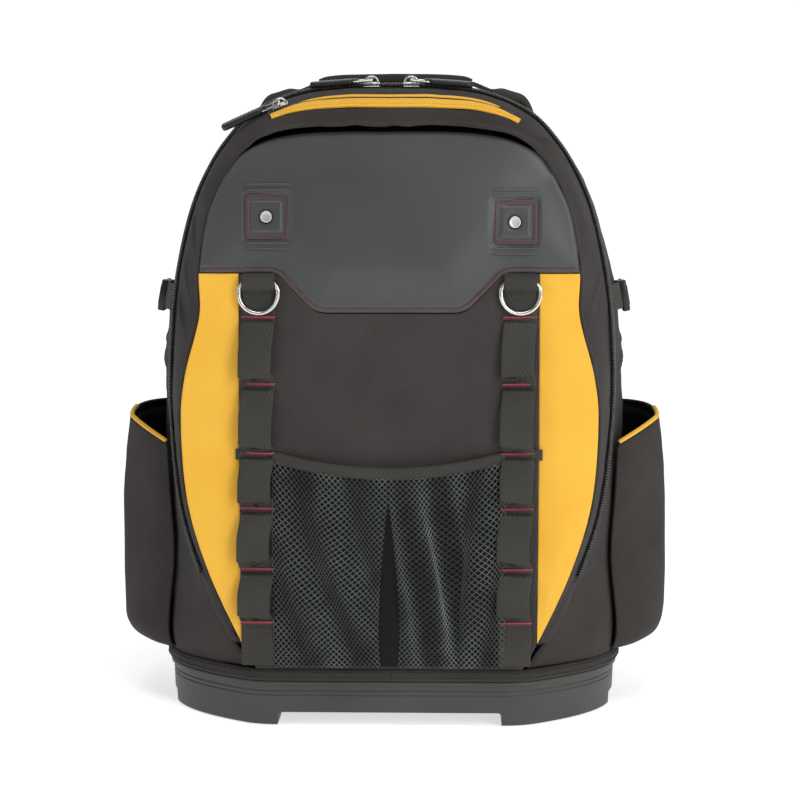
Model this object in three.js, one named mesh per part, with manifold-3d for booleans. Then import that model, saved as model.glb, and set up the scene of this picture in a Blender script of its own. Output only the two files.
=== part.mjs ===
// A tool backpack that stands on a moulded tray, in millimetres, +Z up, its front facing -Y.
// Depth runs along +Y from the front seam of the bag to the shoulder straps on its back.
import * as THREE from "three";
import { mergeVertices } from "three/addons/utils/BufferGeometryUtils.js";
import Module from "manifold-3d";

const wasm = await Module();
wasm.setup();

// Driving dimensions of the bag
const gap = 0.35; // running gap between neighbouring pieces
const bodyWidth = 352; // widest, half way back
const bodyTop = 468; // top of the bag half way back
const bodyDepth = 200; // from the front seam to the back panel
const middleDepth = 110; // where the bag is widest
const backInset = 18; // how far the rear edge rounds in
const seamWidth = 301; // widest of the front seam
const seamTop = 435; // top of the front seam
const domeDepth = 12; // how far the front swells ahead of its seam
const clothWall = 2;
const panelWall = 3;
const zipperWidth = 9;
const zipperWall = 2.6;

// The moulded tray and the binding that joins the cloth to it
const trayHeight = 33;
const trayWall = 3;
const trayRim = 1.2; // how far the rim stands off the cloth above it
const trayLip = 4; // height of the rim
const trayStep = 2; // from the rim in to the wall
const footHeight = 9.5;
const footInner = 82; // half the notch between the two front feet
const sideNotch = 56; // notch between front and rear feet
const bindingHeight = 9;
const bindingProud = 3;
const bindingRound = 2;
const clothBase = trayHeight + bindingHeight + 2 * gap; // where the cloth begins

// Front face
const yellowInner = 107.5; // half distance between the yellow panels
const mouldedSide = 331; // lower edge of the moulded panel above the yellow panels
const mouldedMiddle = 305; // and at the centre
const mouldedBendOuter = 81.8;
const mouldedBendInner = 55;
const patchSide = 31.5;
const patchX = 89.6;
const patchZ = 370;
const patchWall = 1.6;
const rivetRadius = 4.3;
const ribLength = 34; // embossed double bars over and under each patch
const ribSize = 1.6;
const ribFirst = 21.5; // from the patch's centre
const ribPitch = 4.6;
const ribProud = 0.8;
const webbingWidth = 23.6;
const webbingWall = 1.6;
const ladderX = 94;
const loopGap = 5; // slack behind each loop of the ladder
const foldHeight = 12; // fold at the ladder's top that holds the ring
const ringOut = 5; // from the cloth to the middle of the ring's bar
const ringWire = 3.5;
const ringWidth = 32;
const ringDrop = 25; // from the ring's bar to its lowest point
const meshEdge = 81.7;
const meshTop = 204;
const meshSag = 11;
const meshBandHeight = 8.6;
const meshBandWall = 2.6;
const meshWall = 1.2;
const meshMouth = 8; // how far the mouth stands off the panel
const meshBelly = 13;
const slitTop = 167;
const slitWidth = 12;
const netCell = { width: 8, height: 12 };

// Side pockets
const pocketFront = 66;
const pocketRear = 190;
const pocketBelly = 32;
const pocketWall = 2;
const mouthRows = { front: 3.58, rear: 4.16 }; // height of the mouth in rows of the bag's table
const pipingRadius = 1.7;

// Top and hardware
const handleRise = 483; // top of the grip
const handleSpan = 104; // half distance between its ends
const handleWidth = 28;
const handleWall = 9.5;
const handleDepth = 176;
const handleDrop = 19; // from the grip down to its feet
const handleSeat = 1.2; // between its feet and the bag's rounding
const sliderX = 14.5;
const sliderLength = 12;
const sliderWidth = 9;
const sliderHeight = 3.2;
const bridgeLength = 10;
const bridgeWidth = 2.4;
const bridgeInside = 3.4;
const bridgeWall = 1.3;
const zipperDepth = 58;
const pullLength = 36;
const pullWidth = 10;
const pullWall = 4.5;
const linkLength = 15;
const linkWidth = 10.4;
const linkWire = 1.8;
const pocketSliderX = 79;
const flapFront = 14;
const weltGap = 5; // from the flap back to the welt
const flapWidth = 9.5;
const flapWall = 1.4;
const pipingWidth = 4;

// Side straps and back
const sideStrapRow = 6.22;
const sideStrapWidth = 20;
const buckleLength = 38;
const buckleHeight = 24;
const buckleWall = 6;
const buckleDepth = 118;
const backWall = 4;
const padWall = 14;
const padWidth = 92;
const padX = 62;
const padTop = 405;
const padFoot = 138;
const lumbarHeight = 70;
const lumbarHalf = 94;
const lumbarSpace = 11; // between the lumbar pad and the pads above it
const strapWidth = 62;
const strapWall = 13;
const strapTop = padTop + 27;
const strapFoot = 128;
const strapTopX = 46;
const strapFootX = 90;
const strapBow = 46; // how far the shoulder straps stand off the back
const strapWebFoot = 52; // where their webbing is sewn to the bag
const strapWebX = 126;
const adjusterWidth = 34;
const adjusterHeight = 20;
const adjusterWall = 5;
const adjusterSlot = 4.5;
const adjusterPitch = 9.2; // between the middles of its slots

// Half of the bag's outline, from the base up to the top centre. seamX and sideX are shares of the half widths,
// seamZ and sideZ shares of the height above the cloth's base. round bends the way from seam to side,
// and zip is the zipper's place as a share of its depth at the top.
const arch = [
  { seamX: 0.645, seamZ: 0.0, sideX: 0.975, sideZ: 0.0, round: 2.5, zip: 0.0 },
  { seamX: 0.714, seamZ: 0.049, sideX: 0.982, sideZ: 0.045, round: 2.4, zip: 0.04 },
  { seamX: 0.87, seamZ: 0.181, sideX: 0.989, sideZ: 0.163, round: 1.3, zip: 0.22 },
  { seamX: 0.97, seamZ: 0.311, sideX: 1.0, sideZ: 0.283, round: 1.0, zip: 0.55 },
  { seamX: 1.0, seamZ: 0.457, sideX: 1.0, sideZ: 0.417, round: 1.1, zip: 0.79 },
  { seamX: 0.977, seamZ: 0.548, sideX: 0.994, sideZ: 0.507, round: 1.3, zip: 0.93 },
  { seamX: 0.905, seamZ: 0.656, sideX: 0.977, sideZ: 0.611, round: 1.6, zip: 1.0 },
  { seamX: 0.905, seamZ: 0.737, sideX: 0.937, sideZ: 0.696, round: 1.6, zip: 1.0 },
  { seamX: 0.868, seamZ: 0.83, sideX: 0.88, sideZ: 0.776, round: 1.7, zip: 1.0 },
  { seamX: 0.805, seamZ: 0.892, sideX: 0.807, sideZ: 0.842, round: 2.0, zip: 1.0 },
  { seamX: 0.716, seamZ: 0.945, sideX: 0.71, sideZ: 0.902, round: 2.4, zip: 1.0 },
  { seamX: 0.59, seamZ: 0.981, sideX: 0.585, sideZ: 0.952, round: 3.0, zip: 1.0 },
  { seamX: 0.42, seamZ: 0.996, sideX: 0.4, sideZ: 0.985, round: 3.5, zip: 1.0 },
  { seamX: 0.21, seamZ: 1.0, sideX: 0.2, sideZ: 0.998, round: 3.5, zip: 1.0 },
  { seamX: 0.0, seamZ: 1.0, sideX: 0.0, sideZ: 1.0, round: 3.5, zip: 1.0 },
];
const topRow = arch.length - 1;
const ribs = 2 * topRow;

const backpack = new THREE.Group();

function material(color, roughness, metalness = 0) {
  return new THREE.MeshStandardMaterial({ color, roughness, metalness });
}

const finishes = {
  cloth: material(0x3d3a38, 0.9),
  panelCloth: material(0x3e3c3a, 0.88),
  moulded: material(0x4a4b4a, 0.5),
  yellow: material(0xf3c24a, 0.75),
  webbing: material(0x3e3d3a, 0.85),
  net: material(0x262729, 0.9),
  coil: material(0x1d1d1d, 0.6),
  tray: material(0x474845, 0.55),
  steel: material(0xc9c9c6, 0.25, 1),
  plastic: material(0x262625, 0.5),
  padding: material(0x2b2b2a, 0.95),
};

// Turns a closed surface face out.
function outward(geometry) {
  const p = geometry.getAttribute("position");
  const order = geometry.index.array;
  const a = new THREE.Vector3();
  const b = new THREE.Vector3();
  const c = new THREE.Vector3();
  let volume = 0;
  for (let i = 0; i < order.length; i += 3) {
    a.fromBufferAttribute(p, order[i]);
    b.fromBufferAttribute(p, order[i + 1]);
    c.fromBufferAttribute(p, order[i + 2]);
    volume += a.dot(b.cross(c));
  }
  if (volume < 0) {
    for (let i = 0; i < order.length; i += 3) {
      const kept = order[i];
      order[i] = order[i + 1];
      order[i + 1] = kept;
    }
  }
  return geometry;
}

function closed(positions, index) {
  const geometry = new THREE.BufferGeometry();
  geometry.setAttribute("position", new THREE.Float32BufferAttribute(positions, 3));
  geometry.setIndex(index);
  return outward(geometry);
}

function toSolid(geometry) {
  const bare = geometry.clone();
  bare.deleteAttribute("normal");
  bare.deleteAttribute("uv");
  const merged = mergeVertices(bare, 1e-4);
  const vertProperties = new Float32Array(merged.getAttribute("position").array);
  const triVerts = new Uint32Array(merged.index.array);
  return new wasm.Manifold(new wasm.Mesh({ numProp: 3, vertProperties, triVerts }));
}

function toGeometry(solid) {
  const made = solid.getMesh();
  return closed(made.vertProperties, Array.from(made.triVerts));
}

function addPiece(name, geometry, finish, parent = backpack) {
  const mesh = new THREE.Mesh(geometry, finish);
  mesh.name = name;
  parent.add(mesh);
  return mesh;
}

// A closed sheet between two faces, each a function of two shares from 0 to 1.
function sheet(columns, rows, outer, inner) {
  const positions = [];
  const index = [];
  const stride = rows + 1;
  const back = (columns + 1) * stride;
  for (const face of [outer, inner]) {
    for (let i = 0; i <= columns; i++) {
      for (let j = 0; j <= rows; j++) {
        const p = face(i / columns, j / rows);
        positions.push(p.x, p.y, p.z);
      }
    }
  }
  const quad = (a, b, c, d) => index.push(a, b, c, a, c, d);
  for (let i = 0; i < columns; i++) {
    for (let j = 0; j < rows; j++) {
      const a = i * stride + j;
      const b = a + stride;
      quad(a, b, b + 1, a + 1);
      quad(back + a, back + a + 1, back + b + 1, back + b);
    }
    const low = i * stride;
    const high = low + rows;
    quad(low, back + low, back + low + stride, low + stride);
    quad(high, high + stride, back + high + stride, back + high);
  }
  for (let j = 0; j < rows; j++) {
    const end = columns * stride + j;
    quad(j, j + 1, back + j + 1, back + j);
    quad(end, back + end, back + end + 1, end + 1);
  }
  return closed(positions, index);
}

// A face moved along its own normal.
function offsetFace(face, distance) {
  const step = 0.01;
  return (u, v) => {
    const across = face(Math.min(u + step, 1), v).sub(face(Math.max(u - step, 0), v));
    const along = face(u, Math.min(v + step, 1)).sub(face(u, Math.max(v - step, 0)));
    const normal = across.cross(along).normalize();
    return face(u, v).addScaledVector(normal, distance);
  };
}

// A flat outline in X and Z, given depth along Y.
function prism(points, nearY, farY) {
  const shape = new THREE.Shape(points.map(([x, z]) => new THREE.Vector2(x, z)));
  const geometry = new THREE.ExtrudeGeometry(shape, { depth: farY - nearY, bevelEnabled: false });
  geometry.rotateX(Math.PI / 2);
  geometry.translate(0, farY, 0);
  return geometry;
}

function block(width, depth, height, x, y, z) {
  return new THREE.BoxGeometry(width, depth, height).translate(x, y, z);
}

// Reads a column of the outline table at a row that may lie between two.
function column(name, row) {
  const low = Math.min(Math.floor(row), topRow - 1);
  return THREE.MathUtils.lerp(arch[low][name], arch[low + 1][name], row - low);
}

function heightShare(z) {
  return (z - clothBase) / (seamTop - clothBase);
}

// The inner face of the front, which swells ahead of the seam.
function frontY(x, z) {
  const across = 1 - (x / (seamWidth / 2 + 4)) ** 2;
  const share = THREE.MathUtils.clamp(heightShare(z), 0, 1);
  return -domeDepth * Math.max(across, 0) * (1 - (2 * share - 1) ** 2);
}

function seamPoint(row) {
  const x = column("seamX", row) * (seamWidth / 2);
  const z = clothBase + column("seamZ", row) * (seamTop - clothBase);
  return new THREE.Vector3(x, frontY(x, z), z);
}

// A point of the bag's outside on a whole rib, counted from the right foot over the top to the left foot.
function ribPoint(rib, depth) {
  const row = rib <= topRow ? rib : ribs - rib;
  const side = rib <= topRow ? 1 : -1;
  const seam = seamPoint(row);
  const wideX = column("sideX", row) * (bodyWidth / 2);
  const wideZ = clothBase + column("sideZ", row) * (bodyTop - clothBase);
  const share = THREE.MathUtils.clamp((depth - seam.y) / (middleDepth - seam.y), 0, 1);
  const rounded = 1 - (1 - share) ** column("round", row);
  const rear = Math.max((depth - middleDepth) / (bodyDepth - middleDepth), 0) ** 3 * backInset;
  const x = THREE.MathUtils.lerp(seam.x, wideX, rounded) * (1 - rear / (bodyWidth / 2));
  const z = THREE.MathUtils.lerp(seam.z, wideZ, rounded);
  return new THREE.Vector3(side * x, depth, clothBase + (z - clothBase) * (1 - rear / (bodyTop - clothBase)));
}

// Between two ribs the bag's outside is straight.
function shellPoint(rib, depth) {
  const low = Math.min(Math.floor(rib), ribs - 1);
  return ribPoint(low, depth).lerp(ribPoint(low + 1, depth), rib - low);
}

function rowOf(rib) {
  return rib <= topRow ? rib : ribs - rib;
}

function zipDepthAt(rib) {
  return column("zip", rowOf(rib)) * zipperDepth;
}

function zipHalfAt(rib) {
  return Math.min(zipperWidth / 2, 0.4 * zipDepthAt(rib) + 0.3);
}

// A strip of the shell from rib to rib, between two depths that may change along it.
function shellStrip(fromRib, toRib, columns, rows, nearDepth, farDepth, wall, lift = 0) {
  const base = (u, v) => {
    const rib = THREE.MathUtils.lerp(fromRib, toRib, u);
    return shellPoint(rib, THREE.MathUtils.lerp(nearDepth(rib), farDepth(rib), v));
  };
  const raised = (distance) => (u, v) => {
    const p = offsetFace(base, -distance)(u, v);
    return p.setZ(Math.max(p.z, clothBase));
  };
  return sheet(columns, rows, raised(lift), raised(lift - wall));
}

// Bag shell
const seamDepth = (rib) => seamPoint(rowOf(rib)).y + gap;
const lowRow = 1; // the row where the zipper and the front gusset run out into the seam
const gussetRear = (rib) => Math.max(zipDepthAt(rib) - zipHalfAt(rib), seamDepth(rib) + 0.6);
const zipFront = (rib) => gussetRear(rib) + gap;
const zipRear = (rib) => Math.max(zipDepthAt(rib) + zipHalfAt(rib), zipFront(rib) + 0.8);
const rearFront = (rib) => (rowOf(rib) < lowRow ? seamDepth(rib) + gap : zipRear(rib) + gap);
const rearEnd = () => bodyDepth;

addPiece(
  "front_gusset",
  shellStrip(lowRow, ribs - lowRow, ribs - 2 * lowRow, 4, seamDepth, gussetRear, clothWall),
  finishes.cloth,
);
addPiece(
  "main_zipper",
  shellStrip(lowRow, ribs - lowRow, ribs - 2 * lowRow, 1, zipFront, zipRear, zipperWall),
  finishes.coil,
);
addPiece("rear_gusset", shellStrip(0, ribs, ribs, 7, rearFront, rearEnd, clothWall), finishes.cloth);

const rearOutline = [];
for (let rib = 0; rib <= ribs; rib++) {
  const p = shellPoint(rib, bodyDepth);
  rearOutline.push([p.x, p.z]);
}
const backNear = bodyDepth + gap;
const backFace = backNear + backWall;
addPiece("back_panel", prism(rearOutline, backNear, backFace), finishes.padding);

// Base: loops of the bag's plan at one height, stacked into a closed wall
const planDepths = [0, 5, 13, 26, 44, 66, 88, middleDepth, 150, 178, 193, bodyDepth];
const planMiddle = backFace / 2;

function planLoop(offset, z) {
  const half = planDepths.map((depth) => shellPoint(0, depth));
  half.push(half[half.length - 1].clone().setY(backFace));
  const left = half.map((p) => new THREE.Vector3(-p.x, p.y, p.z)).reverse();
  const wide = 1 + offset / (bodyWidth / 2);
  const deep = 1 + offset / planMiddle;
  return [...half, ...left].map(
    (p) => new THREE.Vector3(p.x * wide, planMiddle + (p.y - planMiddle) * deep, z),
  );
}

function stack(levels) {
  const loops = levels.map(([offset, z]) => planLoop(offset, z));
  const count = loops[0].length;
  const positions = [];
  const index = [];
  for (const loop of loops) {
    for (const p of loop) positions.push(p.x, p.y, p.z);
  }
  for (let k = 0; k + 1 < loops.length; k++) {
    for (let i = 0; i < count; i++) {
      const next = (i + 1) % count;
      const a = k * count + i;
      const b = k * count + next;
      index.push(a, b, b + count, a, b + count, a + count);
    }
  }
  const top = (loops.length - 1) * count;
  for (let i = 1; i + 1 < count; i++) {
    index.push(0, i + 1, i);
    index.push(top, top + i, top + i + 1);
  }
  return closed(positions, index);
}

const farAway = 2 * bodyWidth;
function makeTray() {
  const wall = trayRim - trayStep;
  const foot = wall - 0.35 * trayWall;
  const edge = 0.4 * trayWall;
  const outside = toSolid(
    stack([
      [foot - edge, 0],
      [foot, edge],
      [wall, trayHeight - trayLip - edge / 2],
      [trayRim, trayHeight - trayLip + edge / 2],
      [trayRim, trayHeight],
    ]),
  );
  const inside = toSolid(
    stack([
      [foot - trayWall, trayWall],
      [wall - trayWall, trayHeight - trayLip],
      [wall - trayWall, trayHeight + trayWall],
    ]),
  );
  const under = toSolid(block(2 * footInner, farAway, 2 * footHeight, 0, planMiddle, 0));
  const across = toSolid(block(farAway, sideNotch, 2 * footHeight, 0, planMiddle, 0));
  const grown = 2 * trayWall;
  const underFloor = toSolid(
    block(2 * footInner + grown, farAway, 2 * footHeight + grown, 0, planMiddle, 0),
  );
  const acrossFloor = toSolid(
    block(farAway, sideNotch + grown, 2 * footHeight + grown, 0, planMiddle, 0),
  );
  const hollow = inside.subtract(underFloor).subtract(acrossFloor);
  return toGeometry(outside.subtract(hollow).subtract(under).subtract(across));
}
addPiece("base_tray", makeTray(), finishes.tray);

function makeBinding() {
  const low = trayHeight + gap;
  const high = low + bindingHeight;
  const outside = toSolid(
    stack([
      [0, low],
      [bindingProud, low + bindingRound],
      [bindingProud, high - bindingRound],
      [gap, high],
    ]),
  );
  const inside = toSolid(
    stack([
      [-2 * clothWall, low - clothWall],
      [-2 * clothWall, high + clothWall],
    ]),
  );
  return toGeometry(outside.subtract(inside));
}
addPiece("base_binding", makeBinding(), finishes.cloth);

// Front: every layer is cut from one domed lattice, so that the layers lie on each other
const frontHalf = seamWidth / 2 + 4;
const frontColumns = 12;
const frontRows = 12;

function frontSlab(lift, wall) {
  const face = (distance) => (u, v) => {
    const x = THREE.MathUtils.lerp(-frontHalf, frontHalf, u);
    const z = THREE.MathUtils.lerp(clothBase, seamTop, v);
    return new THREE.Vector3(x, frontY(x, z) - distance, z);
  };
  return toSolid(sheet(frontColumns, frontRows, face(lift + wall), face(lift)));
}

function frontPiece(points, lift, wall) {
  return frontSlab(lift, wall).intersect(toSolid(prism(points, -farAway, farAway)));
}

function rectangle(x, z, width, height) {
  const w = width / 2;
  const h = height / 2;
  return [
    [x - w, z - h],
    [x + w, z - h],
    [x + w, z + h],
    [x - w, z + h],
  ];
}

const seamOutline = [];
for (let rib = 0; rib <= ribs; rib++) {
  const p = seamPoint(rowOf(rib));
  seamOutline.push([rib <= topRow ? p.x : -p.x, p.z]);
}
const withinSeam = toSolid(prism(seamOutline, -farAway, farAway));

// The lower edge of the moulded panel, from left to right, moved down by a distance
function mouldedEdge(down) {
  return [
    [-frontHalf, mouldedSide - down],
    [-mouldedBendOuter, mouldedSide - down],
    [-mouldedBendInner, mouldedMiddle - down],
    [mouldedBendInner, mouldedMiddle - down],
    [mouldedBendOuter, mouldedSide - down],
    [frontHalf, mouldedSide - down],
  ];
}

function makeMouldedPanel() {
  const points = [...mouldedEdge(0), [frontHalf, bodyTop], [-frontHalf, bodyTop]];
  let panel = frontPiece(points, 0, panelWall).intersect(withinSeam);
  for (const side of [-1, 1]) {
    for (const place of [ribFirst, ribFirst + ribPitch, -ribFirst, -ribFirst - ribPitch]) {
      const bar = rectangle(side * patchX, patchZ + place, ribLength, ribSize);
      panel = panel.add(frontPiece(bar, panelWall / 2, panelWall / 2 + ribProud));
    }
  }
  return toGeometry(panel);
}
addPiece("moulded_panel", makeMouldedPanel(), finishes.moulded);

function makeFrontPanel() {
  const low = clothBase - clothWall;
  const points = [
    [-yellowInner, low],
    [yellowInner, low],
    [yellowInner, mouldedSide - gap],
    ...mouldedEdge(1.4 * gap).slice(1, -1).reverse(),
    [-yellowInner, mouldedSide - gap],
  ];
  return toGeometry(frontPiece(points, 0, clothWall).intersect(withinSeam));
}
addPiece("front_panel", makeFrontPanel(), finishes.panelCloth);

const sides = [
  { name: "left", side: -1 },
  { name: "right", side: 1 },
];

for (const { name, side } of sides) {
  const middle = (yellowInner + gap + frontHalf) / 2;
  const width = frontHalf - yellowInner - gap;
  const height = mouldedSide - gap - clothBase;
  const area = rectangle(side * middle, clothBase + height / 2, width, height);
  const panel = frontPiece(area, 0, clothWall).intersect(withinSeam);
  addPiece(`${name}_yellow_panel`, toGeometry(panel), finishes.yellow);
}

// Square pads with a rivet each
function frontNormal(x, z) {
  const step = 1;
  const slopeX = (frontY(x + step, z) - frontY(x - step, z)) / (2 * step);
  const slopeZ = (frontY(x, z + step) - frontY(x, z - step)) / (2 * step);
  return new THREE.Vector3(slopeX, -1, slopeZ).normalize();
}

for (const { name, side } of sides) {
  const x = side * patchX;
  const pad = frontPiece(rectangle(x, patchZ, patchSide, patchSide), panelWall + gap, patchWall);
  addPiece(`${name}_patch`, toGeometry(pad), finishes.moulded);
  const profile = [
    [0, 0],
    [rivetRadius, 0],
    [rivetRadius, 0.9],
    [0.65 * rivetRadius, 1.9],
    [0, 2.2],
  ];
  const head = new THREE.LatheGeometry(profile.map(([r, h]) => new THREE.Vector2(r, h)), 12);
  const rivet = addPiece(`${name}_rivet`, head, finishes.steel);
  const normal = frontNormal(x, patchZ);
  rivet.quaternion.setFromUnitVectors(new THREE.Vector3(0, 1, 0), normal);
  rivet.position.set(x, frontY(x, patchZ), patchZ);
  rivet.position.addScaledVector(normal, panelWall + patchWall + 2 * gap);
}

// Ladders of webbing loops: the bar tacks between them, as shares of the way up to the moulded panel
const tackShares = [0.892, 0.726, 0.553, 0.414, 0.26, 0.123];
const tackHeights = tackShares.map((share) => THREE.MathUtils.lerp(clothBase, mouldedSide, share));
const ladderTop = mouldedSide - 2 * gap;
const ladderFoot = clothBase + 3;
const foldGap = ringOut + ringWire / 2 + gap + 0.2;
const stepsPerLoop = 6;

function ladderStations() {
  const stations = [];
  const addLoop = (from, to, height) => {
    for (let i = 0; i < stepsPerLoop; i++) {
      const share = i / stepsPerLoop;
      const z = THREE.MathUtils.lerp(from, to, share);
      stations.push({ z, stand: height * Math.sin(Math.PI * share) ** 0.6 });
    }
  };
  addLoop(ladderTop, ladderTop - foldHeight, foldGap);
  stations.push({ z: ladderTop - foldHeight, stand: 0 });
  for (let i = 0; i < tackHeights.length; i++) {
    const to = i + 1 < tackHeights.length ? tackHeights[i + 1] : ladderFoot;
    addLoop(tackHeights[i], to, loopGap);
  }
  stations.push({ z: ladderFoot, stand: 0 });
  return stations;
}
const stations = ladderStations();

for (const { name, side } of sides) {
  const face = (distance) => (u, v) => {
    const station = stations[Math.round(v * (stations.length - 1))];
    const x = side * ladderX + (u - 0.5) * webbingWidth;
    const y = frontY(x, station.z) - clothWall - gap - station.stand - distance;
    return new THREE.Vector3(x, y, station.z);
  };
  const strip = sheet(1, stations.length - 1, face(webbingWall), face(0));
  addPiece(`${name}_ladder`, strip, finishes.webbing);
}

// D-rings: a bent rod whose straight bar lies in the fold of the ladder
const barZ = ladderTop - foldHeight / 2;

function roundSection(radius, count) {
  const shape = new THREE.Shape();
  for (let i = 0; i < count; i++) {
    const angle = (2 * Math.PI * i) / count;
    const x = radius * Math.cos(angle);
    const y = radius * Math.sin(angle);
    if (i === 0) shape.moveTo(x, y);
    else shape.lineTo(x, y);
  }
  shape.closePath();
  return shape;
}

function rod(points, radius, steps, count) {
  const path = new THREE.CatmullRomCurve3(points, false, "catmullrom", 0.5);
  const options = { steps, bevelEnabled: false, extrudePath: path };
  return new THREE.ExtrudeGeometry(roundSection(radius, count), options);
}

function makeRing() {
  const half = (ringWidth - ringWire) / 2;
  const straight = ringDrop - ringWire / 2 - half;
  const points = [new THREE.Vector3(-half, 0, 0)];
  for (let i = 0; i <= 8; i++) {
    const angle = (Math.PI * i) / 8;
    points.push(
      new THREE.Vector3(-half * Math.cos(angle), 0, -straight - half * Math.sin(angle)),
    );
  }
  points.push(new THREE.Vector3(half, 0, 0));
  const bow = toSolid(rod(points, ringWire / 2, 14, 6));
  const bar = new THREE.CylinderGeometry(ringWire / 2, ringWire / 2, ringWidth, 6).rotateZ(Math.PI / 2);
  return toGeometry(bow.add(toSolid(bar)));
}

for (const { name, side } of sides) {
  const ring = addPiece(`${name}_d_ring`, makeRing(), finishes.steel);
  const x = side * ladderX;
  const slope = frontY(x + webbingWidth / 2, barZ) - frontY(x - webbingWidth / 2, barZ);
  ring.rotation.z = Math.atan2(slope, webbingWidth);
  ring.position.set(x, frontY(x, barZ) - clothWall - ringOut, barZ);
}

// Twin net pockets under one binding, open at the top and parted by a slit
function meshTopZ(x) {
  return meshTop - meshSag * (1 - (x / meshEdge) ** 2);
}
function mouthStand(x) {
  return 0.8 + meshMouth * (1 - (x / meshEdge) ** 2);
}

const bindingFace = (distance) => (u, v) => {
  const x = THREE.MathUtils.lerp(-meshEdge, meshEdge, u);
  const z = meshTopZ(x) - v * meshBandHeight;
  return new THREE.Vector3(x, frontY(x, z) - clothWall - mouthStand(x) - distance, z);
};
addPiece(
  "mesh_binding",
  sheet(12, 1, bindingFace(meshBandWall), bindingFace(0)),
  finishes.webbing,
);

// The net's own gaps are far finer: these cells stand for them
const netColumns = 5;
const netRows = 6;
const netFoot = clothBase + 2;

for (const { name, side } of sides) {
  const face = (distance) => (u, v) => {
    const top = meshTopZ(side * meshEdge * (1 - u)) - meshBandHeight - gap;
    const z = THREE.MathUtils.lerp(top, netFoot, v);
    const slit = (slitWidth / 2) * THREE.MathUtils.clamp((slitTop - z) / (slitTop - netFoot), 0, 1);
    const inner = slit + gap;
    const x = side * THREE.MathUtils.lerp(meshEdge, inner, u);
    const bulge = Math.sin(Math.PI * v) ** 0.8;
    const belly = meshBelly * Math.sin(Math.PI * (0.1 + 0.85 * u)) ** 0.8;
    const fold = 1.6 * Math.sin(2 * Math.PI * (2.5 * u + 0.8 * v)) * bulge * Math.sin(Math.PI * u);
    const foot = 1 + 2.5 * Math.sin(Math.PI * u);
    const plain = THREE.MathUtils.lerp(mouthStand(x) + 0.4, foot, v);
    const stand = THREE.MathUtils.lerp(plain, 1 + belly, 0.75 * bulge) + fold;
    return new THREE.Vector3(x, frontY(x, z) - clothWall - stand - distance, z);
  };
  let net = toSolid(sheet(4, 6, face(meshWall), face(0)));
  for (let i = 0; i < netColumns; i++) {
    for (let j = 0; j < netRows; j++) {
      const p = face(0)((i + 0.5 + 0.25 * (j % 2 ? 1 : -1)) / netColumns, (j + 0.5) / netRows);
      const cell = [
        [p.x - netCell.width / 2, p.z],
        [p.x, p.z - netCell.height / 2],
        [p.x + netCell.width / 2, p.z],
        [p.x, p.z + netCell.height / 2],
      ];
      net = net.subtract(toSolid(prism(cell, -farAway, farAway)));
    }
  }
  addPiece(`${name}_mesh_pocket`, toGeometry(net), finishes.net);
}

// Side pockets: heights in rows of the bag's table, swell as a share of the pocket's belly
const pocketRows = [
  { row: 0.16, swell: 0.0 },
  { row: 0.2, swell: 0.62 },
  { row: 0.4, swell: 0.9 },
  { row: 0.8, swell: 1.07 },
  { row: 1.2, swell: 1.14 },
  { row: 1.9, swell: 1.13 },
  { row: 2.7, swell: 1.05 },
  { row: 3.4, swell: 0.95 },
  { row: 4.0, swell: 0.85 },
];
const pocketColumns = 10;

for (const { name, side } of sides) {
  const first = pocketRows[0].row;
  const last = pocketRows[pocketRows.length - 1].row;
  const inner = (u, v) => {
    const place = v * (pocketRows.length - 1);
    const low = Math.min(Math.floor(place), pocketRows.length - 2);
    const share = place - low;
    const mouth = THREE.MathUtils.lerp(mouthRows.front, mouthRows.rear, u ** 0.55);
    const row = THREE.MathUtils.lerp(pocketRows[low].row, pocketRows[low + 1].row, share);
    const swell = THREE.MathUtils.lerp(pocketRows[low].swell, pocketRows[low + 1].swell, share);
    const depth = THREE.MathUtils.lerp(pocketFront, pocketRear, u);
    const height = first + ((row - first) * (mouth - first)) / (last - first);
    const p = shellPoint(side > 0 ? height : ribs - height, depth);
    const out = gap + pocketBelly * swell * Math.sin(Math.PI * u) ** 0.55;
    return p.setX(p.x + side * out);
  };
  const outer = offsetFace(inner, side * pocketWall);
  addPiece(
    `${name}_side_pocket`,
    sheet(pocketColumns, pocketRows.length - 1, outer, inner),
    finishes.cloth,
  );
  const rim = [];
  for (let i = 0; i <= 7; i++) {
    const u = 0.02 + 0.52 * (i / 7);
    const p = outer(u, 1).lerp(inner(u, 1), 0.5);
    rim.push(p.setZ(p.z + pipingRadius + gap));
  }
  addPiece(`${name}_pocket_piping`, rod(rim, pipingRadius, 14, 6), finishes.yellow);
}

// Yellow flap over the front pocket's zipper, and the thin welt behind it
function taperedStrip(fromRib, toRib, near, far, wall) {
  const columns = 2 * (toRib - fromRib);
  const middle = (fromRib + toRib) / 2;
  const half = (toRib - fromRib) / 2;
  const narrow = (rib) => Math.max(1 - Math.abs((rib - middle) / half) ** 6, 0.08);
  const nearDepth = (rib) => (near + far) / 2 - ((far - near) / 2) * narrow(rib);
  const farDepth = (rib) => (near + far) / 2 + ((far - near) / 2) * narrow(rib);
  return shellStrip(fromRib, toRib, columns, 1, nearDepth, farDepth, wall, gap + wall);
}
const flapRib = topRow - 3;
const flapRear = flapFront + flapWidth;
const weltFront = flapRear + weltGap;
addPiece("front_flap", taperedStrip(flapRib, ribs - flapRib, flapFront, flapRear, flapWall), finishes.yellow);
addPiece(
  "flap_piping",
  taperedStrip(flapRib, ribs - flapRib - 1, weltFront, weltFront + pipingWidth, flapWall),
  finishes.yellow,
);

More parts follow.
